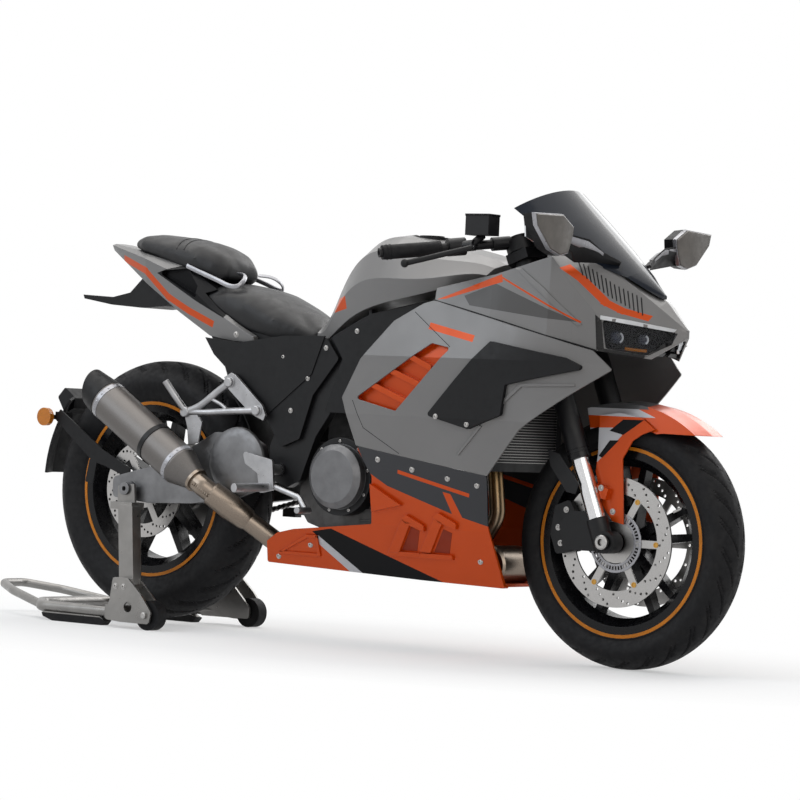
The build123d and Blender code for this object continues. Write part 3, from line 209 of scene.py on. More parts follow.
GREY = (0.190, 0.186, 0.184)
DARK_GREY = (0.035, 0.036, 0.040)
ORANGE = (0.55, 0.062, 0.002)
BLACK = (0.0045, 0.0046, 0.0055)
PALE = (0.45, 0.45, 0.47)
RUBBER, DUST = (0.0065, 0.0065, 0.0075), (0.026, 0.024, 0.023)
HIDE = (0.0075, 0.0075, 0.009)
COAT, SHEEN, MATT_SHEEN = 0.16, 0.2, 0.12
FILLED = 0


def paint(name, colour, *zones):
    """Metallic lacquer under zones of (colour, line width or FILLED, *points); black zones are matt."""
    look = Look(name, colour, 0.34, 0.25, Coat_Weight=COAT, Coat_Roughness=0.08, Specular_IOR_Level=SHEEN)
    look.round(2.0)
    base, matt = look.worn(0.92, 4.0), None
    for tint, width, *points in zones:
        mask = look.line(width, *points) if width else look.patch(*points)
        base = look.blend(mask, base, tint)
        if tint == BLACK:
            matt = mask if matt is None else look.math("MAXIMUM", matt, mask)
    look.set("Base Color", base)
    if matt is not None:
        look.set("Coat Weight", look.remap(matt, 0.0, 1.0, COAT, 0.0))
        look.set("Specular IOR Level", look.remap(matt, 0.0, 1.0, SHEEN, MATT_SHEEN))
    look.roughen(30.0, 0.05, 0.06)


def plastic(name, colour, rough=0.5, depth=0.12):
    """Moulded plastic with a fine grain."""
    look = Look(name, colour, rough, Specular_IOR_Level=0.22)
    look.round()
    look.set("Base Color", look.worn(0.72, 14.0))
    look.roughen(60.0, 0.08, 0.1)
    look.bump(look.cells(1400.0), depth, 0.0003)


def coated(name, colour, rough=0.42, metal=0.0):
    """Satin powder coat."""
    look = Look(name, colour, rough, metal, Specular_IOR_Level=0.25)
    look.round()
    look.set("Base Color", look.worn(0.8, 20.0))
    look.roughen(45.0, 0.07, 0.09)
    look.bump(look.noise(1100.0, 4.0), 0.1, 0.0003)


def cast(name, colour, rough=0.48, metal=0.85):
    """Sand-cast light alloy."""
    look = Look(name, colour, rough, metal)
    look.round(2.0)
    look.set("Base Color", look.worn(0.74, 26.0))
    look.roughen(80.0, 0.1, 0.12)
    look.bump(look.noise(700.0, 5.0, 0.7), 0.25, 0.0004)


def brushed(name, colour, rough, stretch=(1, 1, 1), heat=()):
    """Ground metal with brush marks; heat is (centre, radius, colour) tints."""
    look = Look(name, colour, rough, 1.0)
    marks = look.noise(520.0, 3.0, 0.6, stretch)
    base = look.blend(look.remap(marks, NOISE_LOW, NOISE_HIGH, 0.0, 1.0), dim(colour, 0.8), colour)
    for centre, radius, tint in heat:
        base = look.blend(look.remap(look.apart(look.coords, centre), radius, 0.0, 0.0, 0.9), base, tint)
    look.set("Base Color", base)
    look.set("Roughness", look.remap(marks, 0.2, 0.8, rough - 0.08, rough + 0.12))
    look.bump(marks, 0.05, 0.0002)


def rubber(name):
    """Black rubber with some dust."""
    look = Look(name, RUBBER, 0.62, Specular_IOR_Level=0.18)
    dust = look.remap(look.noise(22.0, 5.0, 0.65), 0.46, 0.72, 0.0, 0.3)
    look.set("Base Color", look.blend(dust, RUBBER, DUST))
    look.roughen(90.0, 0.1, 0.12)
    look.bump(look.noise(1500.0, 3.0), 0.2, 0.0003)


def leather(name):
    """Grained seat cover."""
    look = Look(name, HIDE, 0.40, Specular_IOR_Level=0.3)
    crease = look.remap(look.cells(620.0, "DISTANCE_TO_EDGE"), 0.0, 0.25, 0.0, 1.0)
    look.set("Base Color", look.blend(crease, dim(HIDE, 0.5), HIDE))
    look.roughen(35.0, 0.06, 0.1)
    look.bump(crease, 0.22, 0.0004)


def glassy(name, colour, rough, through, ior=1.46):
    """Glass or clear plastic."""
    look = Look(name, colour, rough, IOR=ior, Transmission_Weight=through)
    look.set("Base Color", look.worn(0.93, 5.0))


paint("grey_paint", GREY)
paint("fairing_paint", GREY,
      (ORANGE, 16, (975, 772), (1092, 748)),
      (BLACK, 1.6, (918, 805), (1037, 726)),
      (BLACK, 1.6, (745, 592), (779, 528), (886, 472)))
paint("cowl_paint", GREY,
      ((0.075, 0.073, 0.072), FILLED, (1052, 846), (1070, 824), (1265, 800), (1351, 793), (1138, 876)),
      (ORANGE, FILLED, (976, 836), (1000, 838), (1156, 880), (1152, 898)),
      (ORANGE, 4, (1150, 892), (1351, 794)),
      (ORANGE, 13, (1308, 917), (1339, 892), (1368, 863), (1390, 841), (1422, 824), (1466, 811)))
paint("belly_paint", ORANGE,
      (DARK_GREY, FILLED, (788, 424), (885, 371), (1029, 337), (1150, 300), (1150, 520), (740, 520)),
      (ORANGE, 9, (884, 428), (1080, 384)),
      (ORANGE, FILLED, (1030, 335), (1060, 325), (1030, 384), (1008, 388)),
      (BLACK, FILLED, (590, 272), (731, 166), (990, 166), (652, 282)),
      (PALE, FILLED, (600, 246), (700, 172), (738, 172), (606, 264)))
paint("orange_paint", ORANGE)
paint("mudguard_paint", ORANGE,
      (PALE, FILLED, (1308, 440), (1360, 480), (1420, 540), (1401, 557), (1308, 553)),
      (BLACK, FILLED, (1385, 549), (1423, 541), (1478, 577), (1421, 576)),
      (BLACK, FILLED, (1358, 490), (1368, 486), (1412, 528), (1387, 527)),
      (PALE, FILLED, (1290, 583), (1500, 583), (1450, 602), (1290, 602)),
      ((0.06, 0.06, 0.062), FILLED, (1290, 601), (1480, 601), (1450, 640), (1290, 640)))
paint("tail_paint", GREY,
      (ORANGE, 17, (-124, 925), (-33, 896), (10, 864), (55, 831), (136, 796), (217, 767)),
      # Black over the pocket under the seat and the grey tail walls inside it: painted shade in the recess.
      (BLACK, FILLED, (14, 890), (164, 820), (262, 780), (300, 900), (112, 915)))
paint("tank_paint", GREY,
      (ORANGE, FILLED, (590, 800), (646, 812), (640, 842), (600, 836)))
plastic("black_plastic", BLACK)
plastic("black_gloss", (0.004, 0.004, 0.005), 0.25, 0.02)
coated("black_metal", (0.005, 0.005, 0.006))
cast("grey_metal", (0.22, 0.22, 0.225))
cast("engine_grey", (0.085, 0.083, 0.082), 0.5, 0.6)
cast("cover_grey", (0.16, 0.16, 0.165), 0.42, 0.75)
cast("casting", (0.20, 0.20, 0.205), 0.44, 0.8)
brushed("steel", (0.42, 0.41, 0.40), 0.32)
brushed("titanium", (0.150, 0.141, 0.135), 0.44, (0.3, 1, 1))
brushed("pipe", (0.26, 0.215, 0.175), 0.3, heat=((at(1000, 0, 480), 0.22, (0.34, 0.20, 0.06)),))
brushed("gold", (0.50, 0.28, 0.07), 0.3)
brushed("chrome", (0.70, 0.70, 0.71), 0.12)
cast("aluminium", (0.38, 0.38, 0.39), 0.36, 0.95)
leather("leather")
plastic("thread", (0.02, 0.02, 0.022), 0.7)
rubber("rubber")
rubber("tyre")
glassy("smoked", (0.014, 0.018, 0.027), 0.14, 0.05, 1.25)
glassy("clear", (0.62, 0.63, 0.65), 0.0, 1.0, 1.2)
brushed("mirror", (0.72, 0.74, 0.76), 0.10)
glassy("amber", (0.62, 0.20, 0.012), 0.15, 0.2)
glassy("red", (0.40, 0.01, 0.01), 0.12, 0.2)
plastic("lamp_and_glint_white", (0.85, 0.86, 0.88), 0.3, 0.05)
coated("shade_orange", (0.27, 0.024, 0.002), 0.5)
cast("satin_grey", (0.125, 0.115, 0.105), 0.4, 0.5)
glassy("lens", (0.01, 0.014, 0.03), 0.02, 0.0, 1.6)
coated("stand_paint", (0.27, 0.262, 0.252), 0.33, 0.85)
coated("wheel_line", (0.62, 0.20, 0.012), 0.4)
coated("pale_metal", (0.34, 0.34, 0.36), 0.3, 0.7)
WEARS = {
    "side_fairings": "fairing_paint", "belly_pan": "belly_paint", "front_mudguard": "mudguard_paint",
    "tail_fairing": "tail_paint", "engine": "engine_grey", "engine_covers": "cover_grey", "exhaust_pipes": "pipe",
    "paddock_stand": "stand_paint", "nose_cowl": "cowl_paint", "fuel_tank": "tank_paint",
    "swingarm": "casting", "fuel_cap": "black_metal", "levers": "black_metal", "vent_louvres": "orange_paint",
    "duct_panels": "black_plastic", "front_rim": "black_gloss", "rear_rim": "black_gloss",
    "headlights": "black_gloss", "silencer": "titanium",
}


def coat(mesh, look, sharp):
    """One material on smooth faces that break at edges over sharp degrees."""
    mesh.materials.clear()
    mesh.materials.append(MATERIAL[look])
    mesh.polygons.foreach_set("use_smooth", [True] * len(mesh.polygons))
    mesh.set_sharp_from_angle(angle=math.radians(sharp))


slots = {s["node"]: s["material_slot"] for s in frame["record"]["subparts"]}
for name, obj in NODE.items():
    coat(obj.data, WEARS.get(name, slots[name]), NODE_SHARP)


def link_new(name, data):
    obj = bpy.data.objects.new(name, data)
    bpy.context.collection.objects.link(obj)
    return obj


def dress(name, mesh, body, look, sharp=SHARP, nodes=()):
    """Shows a mesh on a body, in place of the CAD nodes named."""
    coat(mesh, look, sharp)
    obj = link_new(name, mesh)
    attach(obj, body)
    if nodes:
        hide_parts(*nodes)
    return obj


def solid_mesh(name, verts, faces):
    """A mesh with its faces turned outward."""
    mesh = bpy.data.meshes.new(name)
    mesh.from_pydata([tuple(v) for v in verts], [], faces)
    bm = bmesh.new()
    bm.from_mesh(mesh)
    bmesh.ops.recalc_face_normals(bm, faces=bm.faces)
    bm.to_mesh(mesh)
    bm.free()
    return mesh


def smooth_run(pts, steps):
    """Catmull-Rom points through pts."""
    run = []
    n = len(pts)
    for i in range(n - 1):
        p0, p1, p2, p3 = pts[max(i - 1, 0)], pts[i], pts[i + 1], pts[min(i + 2, n - 1)]
        for k in range(steps):
            t = k / steps
            run.append(0.5 * ((2 * p1) + (p2 - p0) * t + (2 * p0 - 5 * p1 + 4 * p2 - p3) * t * t
                              + (3 * p1 - p0 - 3 * p2 + p3) * t * t * t))
    return run + [pts[-1]]


def round_ring(centre, u, v, r, n):
    """A ring of n points in metres about a centre, from two axes across it."""
    return [centre + (u * math.cos(t) + v * math.sin(t)) * r * MM for t in (math.tau * i / n for i in range(n))]


def basis(axis):
    """The axis and two more square to it."""
    axis = Vector(axis).normalized()
    side = axis.cross(Vector((0, 0, 1)) if abs(axis.z) < 0.9 else Vector((1, 0, 0))).normalized()
    return axis, side, axis.cross(side)


class Batch:
    """Small solids of one finish on one body, gathered into one mesh. Sizes and places are in millimetres."""

    def __init__(self, name, look, mirrored=False, sharp=SHARP, body="chassis"):
        self.name, self.look, self.mirrored, self.sharp, self.body = name, look, mirrored, sharp, body
        self.verts, self.faces = [], []

    def add(self, verts, faces):
        k = len(self.verts)
        self.verts += [Vector(v) for v in verts]
        self.faces += [tuple(i + k for i in f) for f in faces]

    def rings(self, rings, closed=False):
        """Skins a run of equal point rings, in metres."""
        n, count = len(rings[0]), len(rings)
        faces = []
        for i in range(count if closed else count - 1):
            a, b = i * n, ((i + 1) % count) * n
            for j in range(n):
                k = (j + 1) % n
                faces.append((a + j, a + k, b + k, b + j))
        if not closed:
            faces.append(tuple(reversed(range(n))))
            faces.append(tuple(range((count - 1) * n, count * n)))
        self.add([p for ring in rings for p in ring], faces)

    def turned(self, centre, axis, profile, n=32, closed=False):
        """Spins (along, radius) points about an axis."""
        centre, (axis, u, v) = at(*centre), basis(axis)
        self.rings([round_ring(centre + axis * a * MM, u, v, max(r, 0.01), n) for a, r in profile], closed)

    def rod(self, a, b, r, n=14):
        a, b = at(*a), at(*b)
        _, u, v = basis(b - a)
        self.rings([round_ring(p, u, v, r, n) for p in (a, b)])

    def screw(self, place, r=4.0):
        """Button head with a socket on a washer, facing the right-hand side."""
        h = SCREW_HIGH
        self.turned(place, TO_RIGHT, ((-2.0, r * 1.45), (0.9, r * 1.45), (1.0, r), (h * 0.7, r), (h, r * 0.75),
                                      (h, r * 0.45), (h * 0.35, r * 0.42)), 12)

    def screws_on(self, tree, r, *places):
        """Screws where (ahead, height) places meet a right-hand surface."""
        for ahead, z in places:
            self.screw((ahead, touch(tree, ahead, z), z), r)

    def box(self, centre, size, turn=0.0):
        """A box, turned in degrees about the axis across the motorcycle."""
        c = at(*centre)
        m = Matrix.Rotation(math.radians(turn), 3, "Y")
        sx, sy, sz = (s * 0.5 * MM for s in size)
        v = [c + m @ Vector((x * sx, y * sy, z * sz)) for x in (-1, 1) for y in (-1, 1) for z in (-1, 1)]
        self.add(v, ((0, 1, 3, 2), (4, 6, 7, 5), (0, 4, 5, 1), (2, 3, 7, 6), (0, 2, 6, 4), (1, 5, 7, 3)))

    def plate(self, outline, y0, y1):
        """A flat plate from an outline in (ahead, height)."""
        self.rings([[at(a, y, z) for a, z in outline] for y in (y0, y1)])

    def path(self, points, r, n, steps, flat=1.0):
        """A bar along a smooth run through the points."""
        run = smooth_run([at(*p) for p in points], steps)
        rings = []
        up = Vector((0, 0, 1))
        for i, p in enumerate(run):
            t = (run[min(i + 1, len(run) - 1)] - run[max(i - 1, 0)]).normalized()
            up = (up - t * up.dot(t)).normalized()
            rings.append(round_ring(p, up, t.cross(up) * flat, r, n))
        self.rings(rings)

    def coil(self, a, b, radius, r, turns, n=8):
        """A spring of round wire from a to b."""
        a, b = at(*a), at(*b)
        axis, u, v = basis(b - a)
        count = int(turns * 20)
        rings = []
        for i in range(count + 1):
            t = math.tau * turns * i / count
            out = u * math.cos(t) + v * math.sin(t)
            rings.append(round_ring(a + (b - a) * (i / count) + out * radius * MM, out, axis, r, n))
        self.rings(rings)

    def mesh(self):
        """All of it as one mesh, with its mirror image where there is one."""
        verts, faces = list(self.verts), list(self.faces)
        if self.mirrored:
            k = len(verts)
            verts += [Vector((v.x, -v.y, v.z)) for v in self.verts]
            faces += [tuple(i + k for i in reversed(f)) for f in self.faces]
        return solid_mesh(self.name, verts, faces)

    def done(self, *nodes):
        dress(self.name, self.mesh(), self.body, self.look, self.sharp, nodes)


def surface(*names):
    """A ray-casting tree over CAD nodes."""
    verts, polys = [], []
    for n in names:
        k = len(verts)
        mesh = NODE[n].data
        verts += [v.co.copy() for v in mesh.vertices]
        polys += [tuple(i + k for i in p.vertices) for p in mesh.polygons]
    return BVHTree.FromPolygons(verts, polys)


def touch(tree, ahead, z):
    """The outermost y in millimetres of a surface seen from the right-hand side, or None."""
    hit = tree.ray_cast(at(ahead, -900, z), Vector((0, 1, 0)))[0]
    return None if hit is None else hit.y / MM


def drape(batch, tree, outline, lift):
    """A raised panel from an outline in (ahead, height), laid on the right-hand surface and lifted off it."""
    bm = bmesh.new()
    bm.faces.new([bm.verts.new((a, 0, z)) for a, z in outline])
    for axis, column in ((Vector((1, 0, 0)), 0), (Vector((0, 0, 1)), 1)):
        low, high = min(p[column] for p in outline), max(p[column] for p in outline)
        for k in range(1, int((high - low) / DRAPE_STEP) + 1):
            geom = bm.verts[:] + bm.edges[:] + bm.faces[:]
            bmesh.ops.bisect_plane(bm, geom=geom, plane_co=axis * (low + k * DRAPE_STEP), plane_no=axis)
    bm.verts.index_update()
    known = [(v.co.x, v.co.z, touch(tree, v.co.x, v.co.z)) for v in bm.verts]
    found = [k for k in known if k[2] is not None]
    count = len(known)
    verts = []
    for layer in (lift, -DRAPE_SINK):
        for x, z, y in known:
            if y is None:
                y = min(found, key=lambda f: (f[0] - x) ** 2 + (f[1] - z) ** 2)[2]
            verts.append(at(x, y - layer, z))
    faces = [tuple(v.index for v in f.verts) for f in bm.faces]
    for e in bm.edges:
        if len(e.link_faces) == 1:
            a, b = e.verts[0].index, e.verts[1].index
            faces.append((a, b, b + count, a + count))
    bm.free()
    batch.add(verts, faces)


def modify(obj, kind, **settings):
    """Adds a modifier with its settings."""
    mod = obj.modifiers.new(kind.lower(), kind)
    for key, value in settings.items():
        setattr(mod, key, value)
    return mod


def settle(obj):
    """The mesh that an object's modifiers make."""
    bpy.context.view_layer.update()
    return bpy.data.meshes.new_from_object(obj.evaluated_get(bpy.context.evaluated_depsgraph_get()))


# Tyres with cut tread
RIM_R, BEAD_R = 224.0, 205.0
TREAD_FROM, TREAD_ROWS, TREAD_STEPS, TREAD_REPEATS = 0.62, 44, 900, 26
GROOVE_DEEP, GROOVE_WIDE, GROOVE_SLOPE = 5.0, 5.4, 1.6


def tyre_profile(r, half, rim_half):
    """(radius, y) points over a tyre from bead to bead, close together on the crown."""
    rise = r - BEAD_R
    shape = [(RIM_R + 1, rim_half - 9.6), (RIM_R + 2, rim_half + 1.4), (BEAD_R + rise * 0.52, half),
             (BEAD_R + rise * 0.74, half * 0.87), (BEAD_R + rise * 0.92, half * 0.51), (r, half * 0.15)]
    shape += [(a, -b) for a, b in reversed(shape)]
    run = smooth_run([Vector((a, b, 0)) for a, b in shape], 4)
    crown = [k for k, p in enumerate(run) if p.x > BEAD_R + rise * TREAD_FROM]
    first, last = crown[0], crown[-1]
    fine = run[:first]
    for k in range(TREAD_ROWS + 1):
        t = first + (last - first) * k / TREAD_ROWS
        i = min(int(t), len(run) - 2)
        fine.append(run[i].lerp(run[i + 1], t - i))
    return fine + run[last + 1:]


def groove(turn, reach, r, sweep):
    """Depth of the tread at an angle and at reach, from -1 to 1 across the tyre: long grooves and short ones."""
    u = (abs(reach) - 0.08) / 0.80
    if not 0.0 < u < 1.0:
        return 0.0
    side_lead = 0.5 if reach < 0 else 0.0

    def away(lead):
        cell = (turn / math.tau * TREAD_REPEATS - lead - side_lead) % 1.0
        return min(cell, 1.0 - cell) * math.tau * r / TREAD_REPEATS

    gap = away(sweep * u ** 0.7)
    if 0.45 < u < 0.95:
        gap = min(gap, away(sweep * 0.8 * u + 0.52) + 0.8)
    wide = GROOVE_WIDE * min(1.0, u * 5.0, (1.0 - u) * 4.0)
    return GROOVE_DEEP * max(0.0, min(1.0, (wide - gap) / GROOVE_SLOPE))


def tread(name, body, node, ahead, z, r, half, rim_half, sweep):
    profile = tyre_profile(r, half, rim_half)
    verts, faces = [], []
    n = len(profile)
    for i in range(TREAD_STEPS):
        turn = math.tau * i / TREAD_STEPS
        for p in profile:
            radius = min(p.x, r)
            if p.x > BEAD_R + (r - BEAD_R) * TREAD_FROM:
                radius -= groove(turn, p.y / half, r, sweep)
            verts.append(at(ahead + radius * math.cos(turn), p.y, z + radius * math.sin(turn)))
        a, b = i * n, ((i + 1) % TREAD_STEPS) * n
        faces += [(a + j, a + j + 1, b + j + 1, b + j) for j in range(n - 1)]
    dress(name, solid_mesh(name, verts, faces), body, "tyre", 40.0, (node,))


WHEELS = (
    # end, ahead, height, tyre radius, tyre half width, rim half width, sweep of the grooves
    ("front", FRONT_AHEAD, FRONT_Z, 294.0, 58.0, 48.0, 1.5),
    ("rear", 0.0, REAR_Z, 325.0, 76.0, 61.0, -1.5),
)
for end, ahead, z, r, half, rim_half, sweep in WHEELS:
    tread(end + "_tread", end + "_wheel", end + "_tyre", ahead, z, r, half, rim_half, sweep)
for end, ahead, z, _, _, rim_half, _ in WHEELS:
    body = end + "_wheel"
    lines = Batch(body + "_lines", "wheel_line", mirrored=True, body=body)
    lines.turned((ahead, -rim_half, z), TO_RIGHT, ((-0.4, 213.0), (0.8, 213.0), (0.8, 221.0), (-0.4, 221.0)), 120, True)
    lines.done()
    valve = Batch(body + "_valve", "steel", body=body)
    valve.rod((ahead + 150, -6, z + 92), (ahead + 122, -20, z + 75), 3.5)
    valve.done()

# Drilled brake discs
HOLE_ROWS, HOLE_LEAD = 16, 0.24
DISCS = (
    # node, body, ahead, height, face y, radii of the hole circles, on both sides
    ("front_discs", "front_wheel", FRONT_AHEAD, FRONT_Z, -64.5, (119.0, 127.5, 136.0, 143.5), True),
    ("rear_disc", "rear_wheel", 0.0, REAR_Z, -86.5, (95.0, 103.0, 110.0, 116.0), False),
)


def drill(node, body, tool):
    """A CAD disc with the tool's rods cut out of it."""
    cutter = link_new("cutter", tool.mesh())
    disc = link_new(node + "_work", NODE[node].data.copy())
    modify(disc, "BOOLEAN", operation="DIFFERENCE", solver="EXACT", object=cutter)
    mesh = settle(disc)
    for obj in (cutter, disc):
        bpy.data.objects.remove(obj)
    dress(node.replace("_", "_drilled_", 1), mesh, body, "steel", 30.0, (node,))


for node, body, ahead, z, y, radii, paired in DISCS:
    tool = Batch(node + "_tool", "steel", paired)
    for i in range(HOLE_ROWS):
        for k, r in enumerate(radii):
            t = math.tau * (i + HOLE_LEAD * k) / HOLE_ROWS
            x, up = ahead + r * math.cos(t), z + r * math.sin(t)
            tool.rod((x, y - 9, up), (x, y + 9, up), 2.8 if k == 1 else 3.4, 10)
    drill(node, body, tool)


def round_axle(ahead, z, r, degrees, y):
    """A place at an angle round an axle."""
    t = math.radians(degrees)
    return ahead + r * math.cos(t), y, z + r * math.sin(t)


buttons = Batch("front_disc_buttons", "gold", mirrored=True, body="front_wheel")
for i in range(6):
    place = round_axle(FRONT_AHEAD, FRONT_Z, 109, 60 * i, -67)
    buttons.turned(place, TO_RIGHT, ((-3, 6.5), (1.2, 6.5), (1.2, 4.0), (0.2, 3.6)), 14)
buttons.done()
speed_ring = Batch("front_speed_ring", "pale_metal", body="front_wheel")
for inner, outer in ((50, 55), (64, 70)):
    speed_ring.turned((FRONT_AHEAD, -67, FRONT_Z), TO_RIGHT,
                      ((-0.4, inner), (2.0, inner), (2.0, outer), (-0.4, outer)), 60, True)
RING_TEETH, SPROCKET_TEETH = 48, 44
for turn in (360.0 * i / RING_TEETH for i in range(RING_TEETH)):
    speed_ring.box(round_axle(FRONT_AHEAD, FRONT_Z, 59.5, turn, -68.0), (11.0, 1.8, 3.0), -turn)
speed_ring.done()

# Chain of rollers and plates round both sprockets
CHAIN_PITCH = 15.875
SPROCKET_R, DRIVE_R, DRIVE_AHEAD, DRIVE_Z = 111.0, 38.0, 545.0, 425.0
OUTER_PLATES, INNER_PLATES = ((82.4, 84.2), (95.8, 97.6)), ((84.4, 86.0), (94.0, 95.6))


def arc(ahead, z, r, start, sweep, count):
    return [Vector((ahead + r * math.cos(t), z + r * math.sin(t)))
            for t in (start + sweep * k / count for k in range(count + 1))]


def chain_pins():
    """Even steps round the chain's run, in (ahead, height)."""
    gap = math.hypot(DRIVE_AHEAD, DRIVE_Z - REAR_Z)
    lean = math.atan2(DRIVE_Z - REAR_Z, DRIVE_AHEAD)
    spread = math.acos((SPROCKET_R - DRIVE_R) / gap)
    loop = arc(0.0, REAR_Z, SPROCKET_R, lean + spread, math.tau - 2 * spread, 180)
    loop += arc(DRIVE_AHEAD, DRIVE_Z, DRIVE_R, lean - spread, 2 * spread, 80)
    loop.append(loop[0])
    reach = [0.0]
    for a, b in zip(loop, loop[1:]):
        reach.append(reach[-1] + (b - a).length)
    links = int(reach[-1] / CHAIN_PITCH / 2) * 2
    pins = []
    k = 0
    for i in range(links):
        s = reach[-1] * i / links
        while reach[k + 1] < s:
            k += 1
        pins.append(loop[k].lerp(loop[k + 1], (s - reach[k]) / (reach[k + 1] - reach[k])))
    return pins


chain = Batch("chain_links", "steel")
pins = chain_pins()
for i, (a, b) in enumerate(zip(pins, pins[1:] + pins[:1])):
    chain.rod((a.x, 83.6, a.y), (a.x, 96.4, a.y), 4.6, 8)
    d = (b - a).normalized()
    s = Vector((-d.y, d.x))
    middle = (a + b) / 2
    outline = (a - d * 6 + s * 3, a - d * 6 - s * 3, a - s * 6.2, middle - s * 4.4, b - s * 6.2,
               b + d * 6 - s * 3, b + d * 6 + s * 3, b + s * 6.2, middle + s * 4.4, a + s * 6.2)
    for near, far in OUTER_PLATES if i % 2 else INNER_PLATES:
        chain.plate(outline, near, far)
chain.done("chain")
teeth = Batch("sprocket_teeth", "steel", body="rear_wheel")
for turn in (360.0 * i / SPROCKET_TEETH for i in range(SPROCKET_TEETH)):
    teeth.box(round_axle(0.0, REAR_Z, 104.5, turn, 90.0), (9.0, 6.0, 5.0), -turn)
teeth.done()

# Seats: foam under a stretched cover
COVER_FRAMES, COVER_STRETCH = 20, 0.009


def stuff(work):
    """Blows a seat's cover up a little from its fixed base."""
    mesh = work.data
    start = [v.co.copy() for v in mesh.vertices]
    base = work.vertex_groups.new(name="base")
    base.add([v.index for v in mesh.vertices if v.normal.z < -0.5], 1.0, "REPLACE")
    mod = modify(work, "CLOTH")
    cloth = mod.settings
    cloth.quality = 5
    cloth.use_pressure = True
    cloth.uniform_pressure_force = 4.0
    cloth.effector_weights.gravity = 0.0
    cloth.vertex_group_mass = "base"
    mod.point_cache.frame_start = 1
    mod.point_cache.frame_end = COVER_FRAMES
    for f in range(1, COVER_FRAMES + 1):
        bpy.context.scene.frame_set(f)
    blown = settle(work)
    work.modifiers.clear()
    bpy.context.scene.frame_set(1)
    for v, old in zip(blown.vertices, start):
        move = v.co - old
        if move.length > COVER_STRETCH:
            v.co = old + move * (COVER_STRETCH / move.length)
    work.data = blown


def cushion(name, node, length=1.0):
    """A padded seat in place of a CAD one; returns a ray-casting tree over it."""
    mesh = NODE[node].data.copy()
    middle = sum((v.co for v in mesh.vertices), Vector()) / len(mesh.vertices)
    rear = min(v.co.x for v in mesh.vertices)
    for v in mesh.vertices:
        v.co = middle + (v.co - middle) * 0.985
        v.co.x = rear + (v.co.x - rear) * length
    work = link_new(name + "_work", mesh)
    modify(work, "REMESH", mode="VOXEL", voxel_size=0.006)
    modify(work, "SMOOTH", factor=0.5, iterations=10)
    mesh = settle(work)
    work.modifiers.clear()
    work.data = mesh
    stuff(work)
    modify(work, "SMOOTH", factor=0.5, iterations=12)
    modify(work, "SUBSURF", levels=1, render_levels=1)
    mesh = settle(work)
    bpy.data.objects.remove(work)
    seat = dress(name, mesh, "chassis", "leather", 180.0, (node,))
    return BVHTree.FromPolygons([v.co.copy() for v in mesh.vertices], [tuple(p.vertices) for p in mesh.polygons])


def over(tree, points, lift=0.0):
    """Points in (ahead, y) dropped on a surface from above, in millimetres."""
    return [(a, y, tree.ray_cast(at(a, y, 1300), Vector((0, 0, -1)))[0].z / MM + lift) for a, y in points]


rider = cushion("rider_cushion", "rider_seat")
pillion = cushion("pillion_cushion", "pillion_seat", 0.88)
piping = Batch("seat_piping", "thread")
for ahead in (58, 82):
    piping.path(over(pillion, [(ahead + abs(y) * 0.12, y) for y in range(-84, 85, 12)]), 1.4, 6, 4)
piping.path(over(rider, [(186 + abs(y) * 0.1, y) for y in range(-96, 97, 12)]), 1.2, 6, 4)
piping.done()


def panels(name, look, tree, *entries, sharp=SHARP):
    """Panels of one finish draped on both sides; each entry is (lift, *outline)."""
    batch = Batch(name, look, mirrored=True, sharp=sharp)
    for lift, *outline in entries:
        drape(batch, tree, outline, lift)
    batch.done()


def moved(outline, ahead, up=0.0):
    return [(a + ahead, z + up) for a, z in outline]


def lathe(name, look, *shapes, body="chassis", mirrored=False):
    """A piece of turned shapes; each is (centre, axis, profile, points round it, closed or not)."""
    batch = Batch(name, look, mirrored, body=body)
    for shape in shapes:
        batch.turned(*shape)
    batch.done()


# Tail trim and the screws of the bodywork
belly, nose = surface("belly_pan"), surface("nose_cowl")
trim = Batch("tail_trim", "pale_metal", mirrored=True)
trim.path(((112, -93, 909), (160, -97, 893), (215, -99, 875), (255, -98, 861), (276, -90, 861), (282, -74, 876),
           (268, -54, 890), (236, -40, 894)), 6.0, 10, 6, 0.5)
trim.done()
SCREWS = (
    # surface, radius, places in (ahead, height)
    (surface("tail_fairing"), 5.5, (307, 741)),
    (surface("side_covers", "frame"), 4.5, (470, 690), (548, 640), (600, 715), (500, 560), (860, 800), (940, 812),
     (690, 758)),
    (belly, 5.0, (821, 455), (924, 436), (1027, 420), (1110, 408), (578, 239), (1090, 230), (470, 205)),
    (surface("side_fairings", "duct_panels", "vent_louvres"), 4.5, (1012, 563), (1101, 548)),
)
screws = Batch("body_screws", "steel", mirrored=True)
for tree, r, *places in SCREWS:
    screws.screws_on(tree, r, *places)
screws.done()

# Belly reliefs: a ramp, two hooded vents with their shadows, and the drain recess
VENT_STEP, VENT_RISE = 96, 10
HOOD = ((878, 318), (896, 305), (944, 292), (946, 305), (896, 328))
POST = ((824, 236), (856, 236), (906, 308), (884, 319))
SILL = ((820, 227), (918, 229), (918, 239), (824, 239))
SHADOW = ((862, 243), (908, 243), (926, 292), (903, 300))
panels("belly_reliefs", "orange_paint", belly,
       (9.0, (796, 396), (792, 330), (884, 350)),
       (8.0, *HOOD), (8.0, *POST), (7.0, *SILL),
       (8.0, *moved(HOOD, VENT_STEP, VENT_RISE)), (8.0, *moved(POST, VENT_STEP, VENT_RISE * 0.6)),
       (7.0, *moved(SILL, VENT_STEP)),
       (4.0, (472, 211), (602, 211), (602, 218), (476, 218)), (4.0, (476, 216), (486, 216), (576, 256), (568, 262)),
       (4.0, (568, 255), (606, 255), (606, 263), (568, 263)), (4.0, (598, 212), (606, 212), (606, 262), (600, 262)),
       sharp=24.0)
panels("belly_shadows", "shade_orange", belly, (0.5, *SHADOW), (0.5, *moved(SHADOW, VENT_STEP)))

